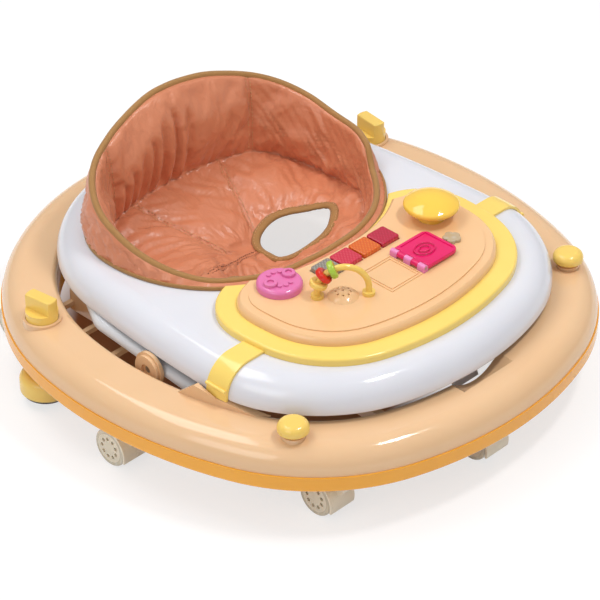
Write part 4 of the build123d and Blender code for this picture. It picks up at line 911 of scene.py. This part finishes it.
# A folded tape over the rim: down one side, over the top and down the other, open below
RIM_TAPE = [(-3.4, -7.5), (-3.9, -4.5), (-3.3, -1.6), (-1.8, -0.2), (0, 0.3), (1.8, -0.2), (3.3, -1.6),
            (3.9, -4.5), (3.4, -7.5), (2.6, -7.3), (0, -4.5), (-2.6, -7.3)]
rim_tape = swept("rim_tape", rim_path, rim_frames, in_mm(RIM_TAPE), tape_tan)
HEM_TAPE = [(-3, -1), (0.5, -1), (1.2, 0.6), (0.9, 3.2), (0, 4.2), (-1.2, 3.2), (-2, 0.6)]
hem_tape = swept("hem_tape", hem_path, rim_frames, in_mm(HEM_TAPE), tape_tan)

# Tape round each leg hole, folded over the edge
LEG_STEPS = 96
LEG_TAPE = [(-1.2, -2.0), (4.5, -3.0), (8.0, -2.4), (8.4, 1.0), (5.0, 2.2), (1.0, 2.0), (-1.8, 0.4)]
leg_tapes, leg_runs = [], []
for name, leg in (("leg_tape_left", LEFT_LEG), ("leg_tape_right", RIGHT_LEG)):
    path, frames, run = [], [], []
    for step in range(LEG_STEPS):
        a = step * 2 * math.pi / LEG_STEPS
        edge = leg_edge(leg, a)
        out = (leg_edge(leg, a + 0.05) - leg_edge(leg, a - 0.05)).normalized()
        out = Vector((out.y, -out.x))
        foot = bowl_above(edge)
        across = (bowl_above(edge + out * 8 * MM) - foot).normalized()
        along = Vector((-out.y, out.x, 0))
        normal = across.cross(along).normalized()
        path.append(foot)
        frames.append((across, normal))
        run.append((foot + across * LEG_STITCH_OUT + normal * LEG_STITCH_UP, normal))
    leg_tapes.append(swept(name, path, frames, in_mm(LEG_TAPE), tape_tan))
    leg_runs.append(run + run[:1])

inner_run, outer_run = [], []
for p, (out, up) in zip(rim_path + rim_path[:1], rim_frames + rim_frames[:1]):
    inner_run.append((p - out * RIM_STITCH_OUT - up * RIM_STITCH_DOWN, -out))
    outer_run.append((p + out * RIM_STITCH_OUT - up * RIM_STITCH_DOWN, out))
rim_thread = stitches("rim_thread", [inner_run, outer_run] + leg_runs, 3.2 * MM, 1.4 * MM, 0.4 * MM,
                      thread_sand)

# Two rows of thread beside each seam of the back panel, the middle panel and its hem
SLANT_OFF, HEM_OFF, UPRIGHT_OFF = 2.2 * MM, 2.4 * MM, 0.006
SLANT_STEPS, HEM_STEPS, UPRIGHT_STEPS = 40, 30, 40
mirrored = [Vector((-p.x, p.y)) for p in SLANT]
slants = [seam_run(line, shift, SLANT_STEPS)
          for line in (SLANT, mirrored) for shift in (-SLANT_OFF, SLANT_OFF)]
uprights = []
for side in (-1, 1):
    for shift in (-UPRIGHT_OFF, UPRIGHT_OFF):
        column = [band_point(side * PANEL_SEAM + shift, 0.06 + 0.88 * k / UPRIGHT_STEPS)
                  for k in range(UPRIGHT_STEPS + 1)]
        uprights.append([on_cloth(p) for p in column])
seam_thread = stitches("seam_thread", slants + uprights, 3.0 * MM, 1.4 * MM, 0.4 * MM, thread_sand)
hems = [seam_run(HEM[:3], shift, HEM_STEPS) for shift in (-HEM_OFF, HEM_OFF)]
hem_thread = stitches("hem_thread", hems, 3.0 * MM, 1.6 * MM, 0.5 * MM, thread_brown)

# The inside is wadding between two cloths, so it has an underside too
WADDING = 2.0 * MM
wadding = inside.modifiers.new("wadding", "SOLIDIFY")
wadding.thickness = WADDING
wadding.offset = -1

for piece in [inside, outside, rim_tape, hem_tape, rim_thread, seam_thread, hem_thread] + leg_tapes:
    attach(piece, "tray")
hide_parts("seat_back", "seat_sling")


# Two plain ovals pressed into the flip page
OVAL_STEPS = 64
OVAL_BAR = 0.8 * MM
PAGE_RECESS = 1.0 * MM
PAGE_OVALS = (("page_oval_outer", (13 * MM, 10 * MM)), ("page_oval_inner", (7 * MM, 5 * MM)))


def oval(name, middle, halves, bar, material):
    """A raised half-round bar that runs round an oval."""
    path, frames = [], []
    for step in range(OVAL_STEPS):
        a = step * 2 * math.pi / OVAL_STEPS
        path.append(middle + Vector((halves[0] * math.cos(a), halves[1] * math.sin(a), 0)))
        frames.append((Vector((math.cos(a) / halves[0], math.sin(a) / halves[1], 0)).normalized(), UP))
    half_round = [(bar * math.cos(math.pi * k / 6), bar * math.sin(math.pi * k / 6)) for k in range(7)]
    return swept(name, path, frames, half_round, material)


page_low, page_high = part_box("book_page")
page_middle = (page_low + page_high) / 2
page_middle.z = page_high.z - PAGE_RECESS
for name, halves in PAGE_OVALS:
    ring = oval(name, page_middle, halves, OVAL_BAR, abs_magenta)
    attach(ring, "book_page")


# The size of the dressed walker: one box round every shown part, the floor left out
low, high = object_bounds()
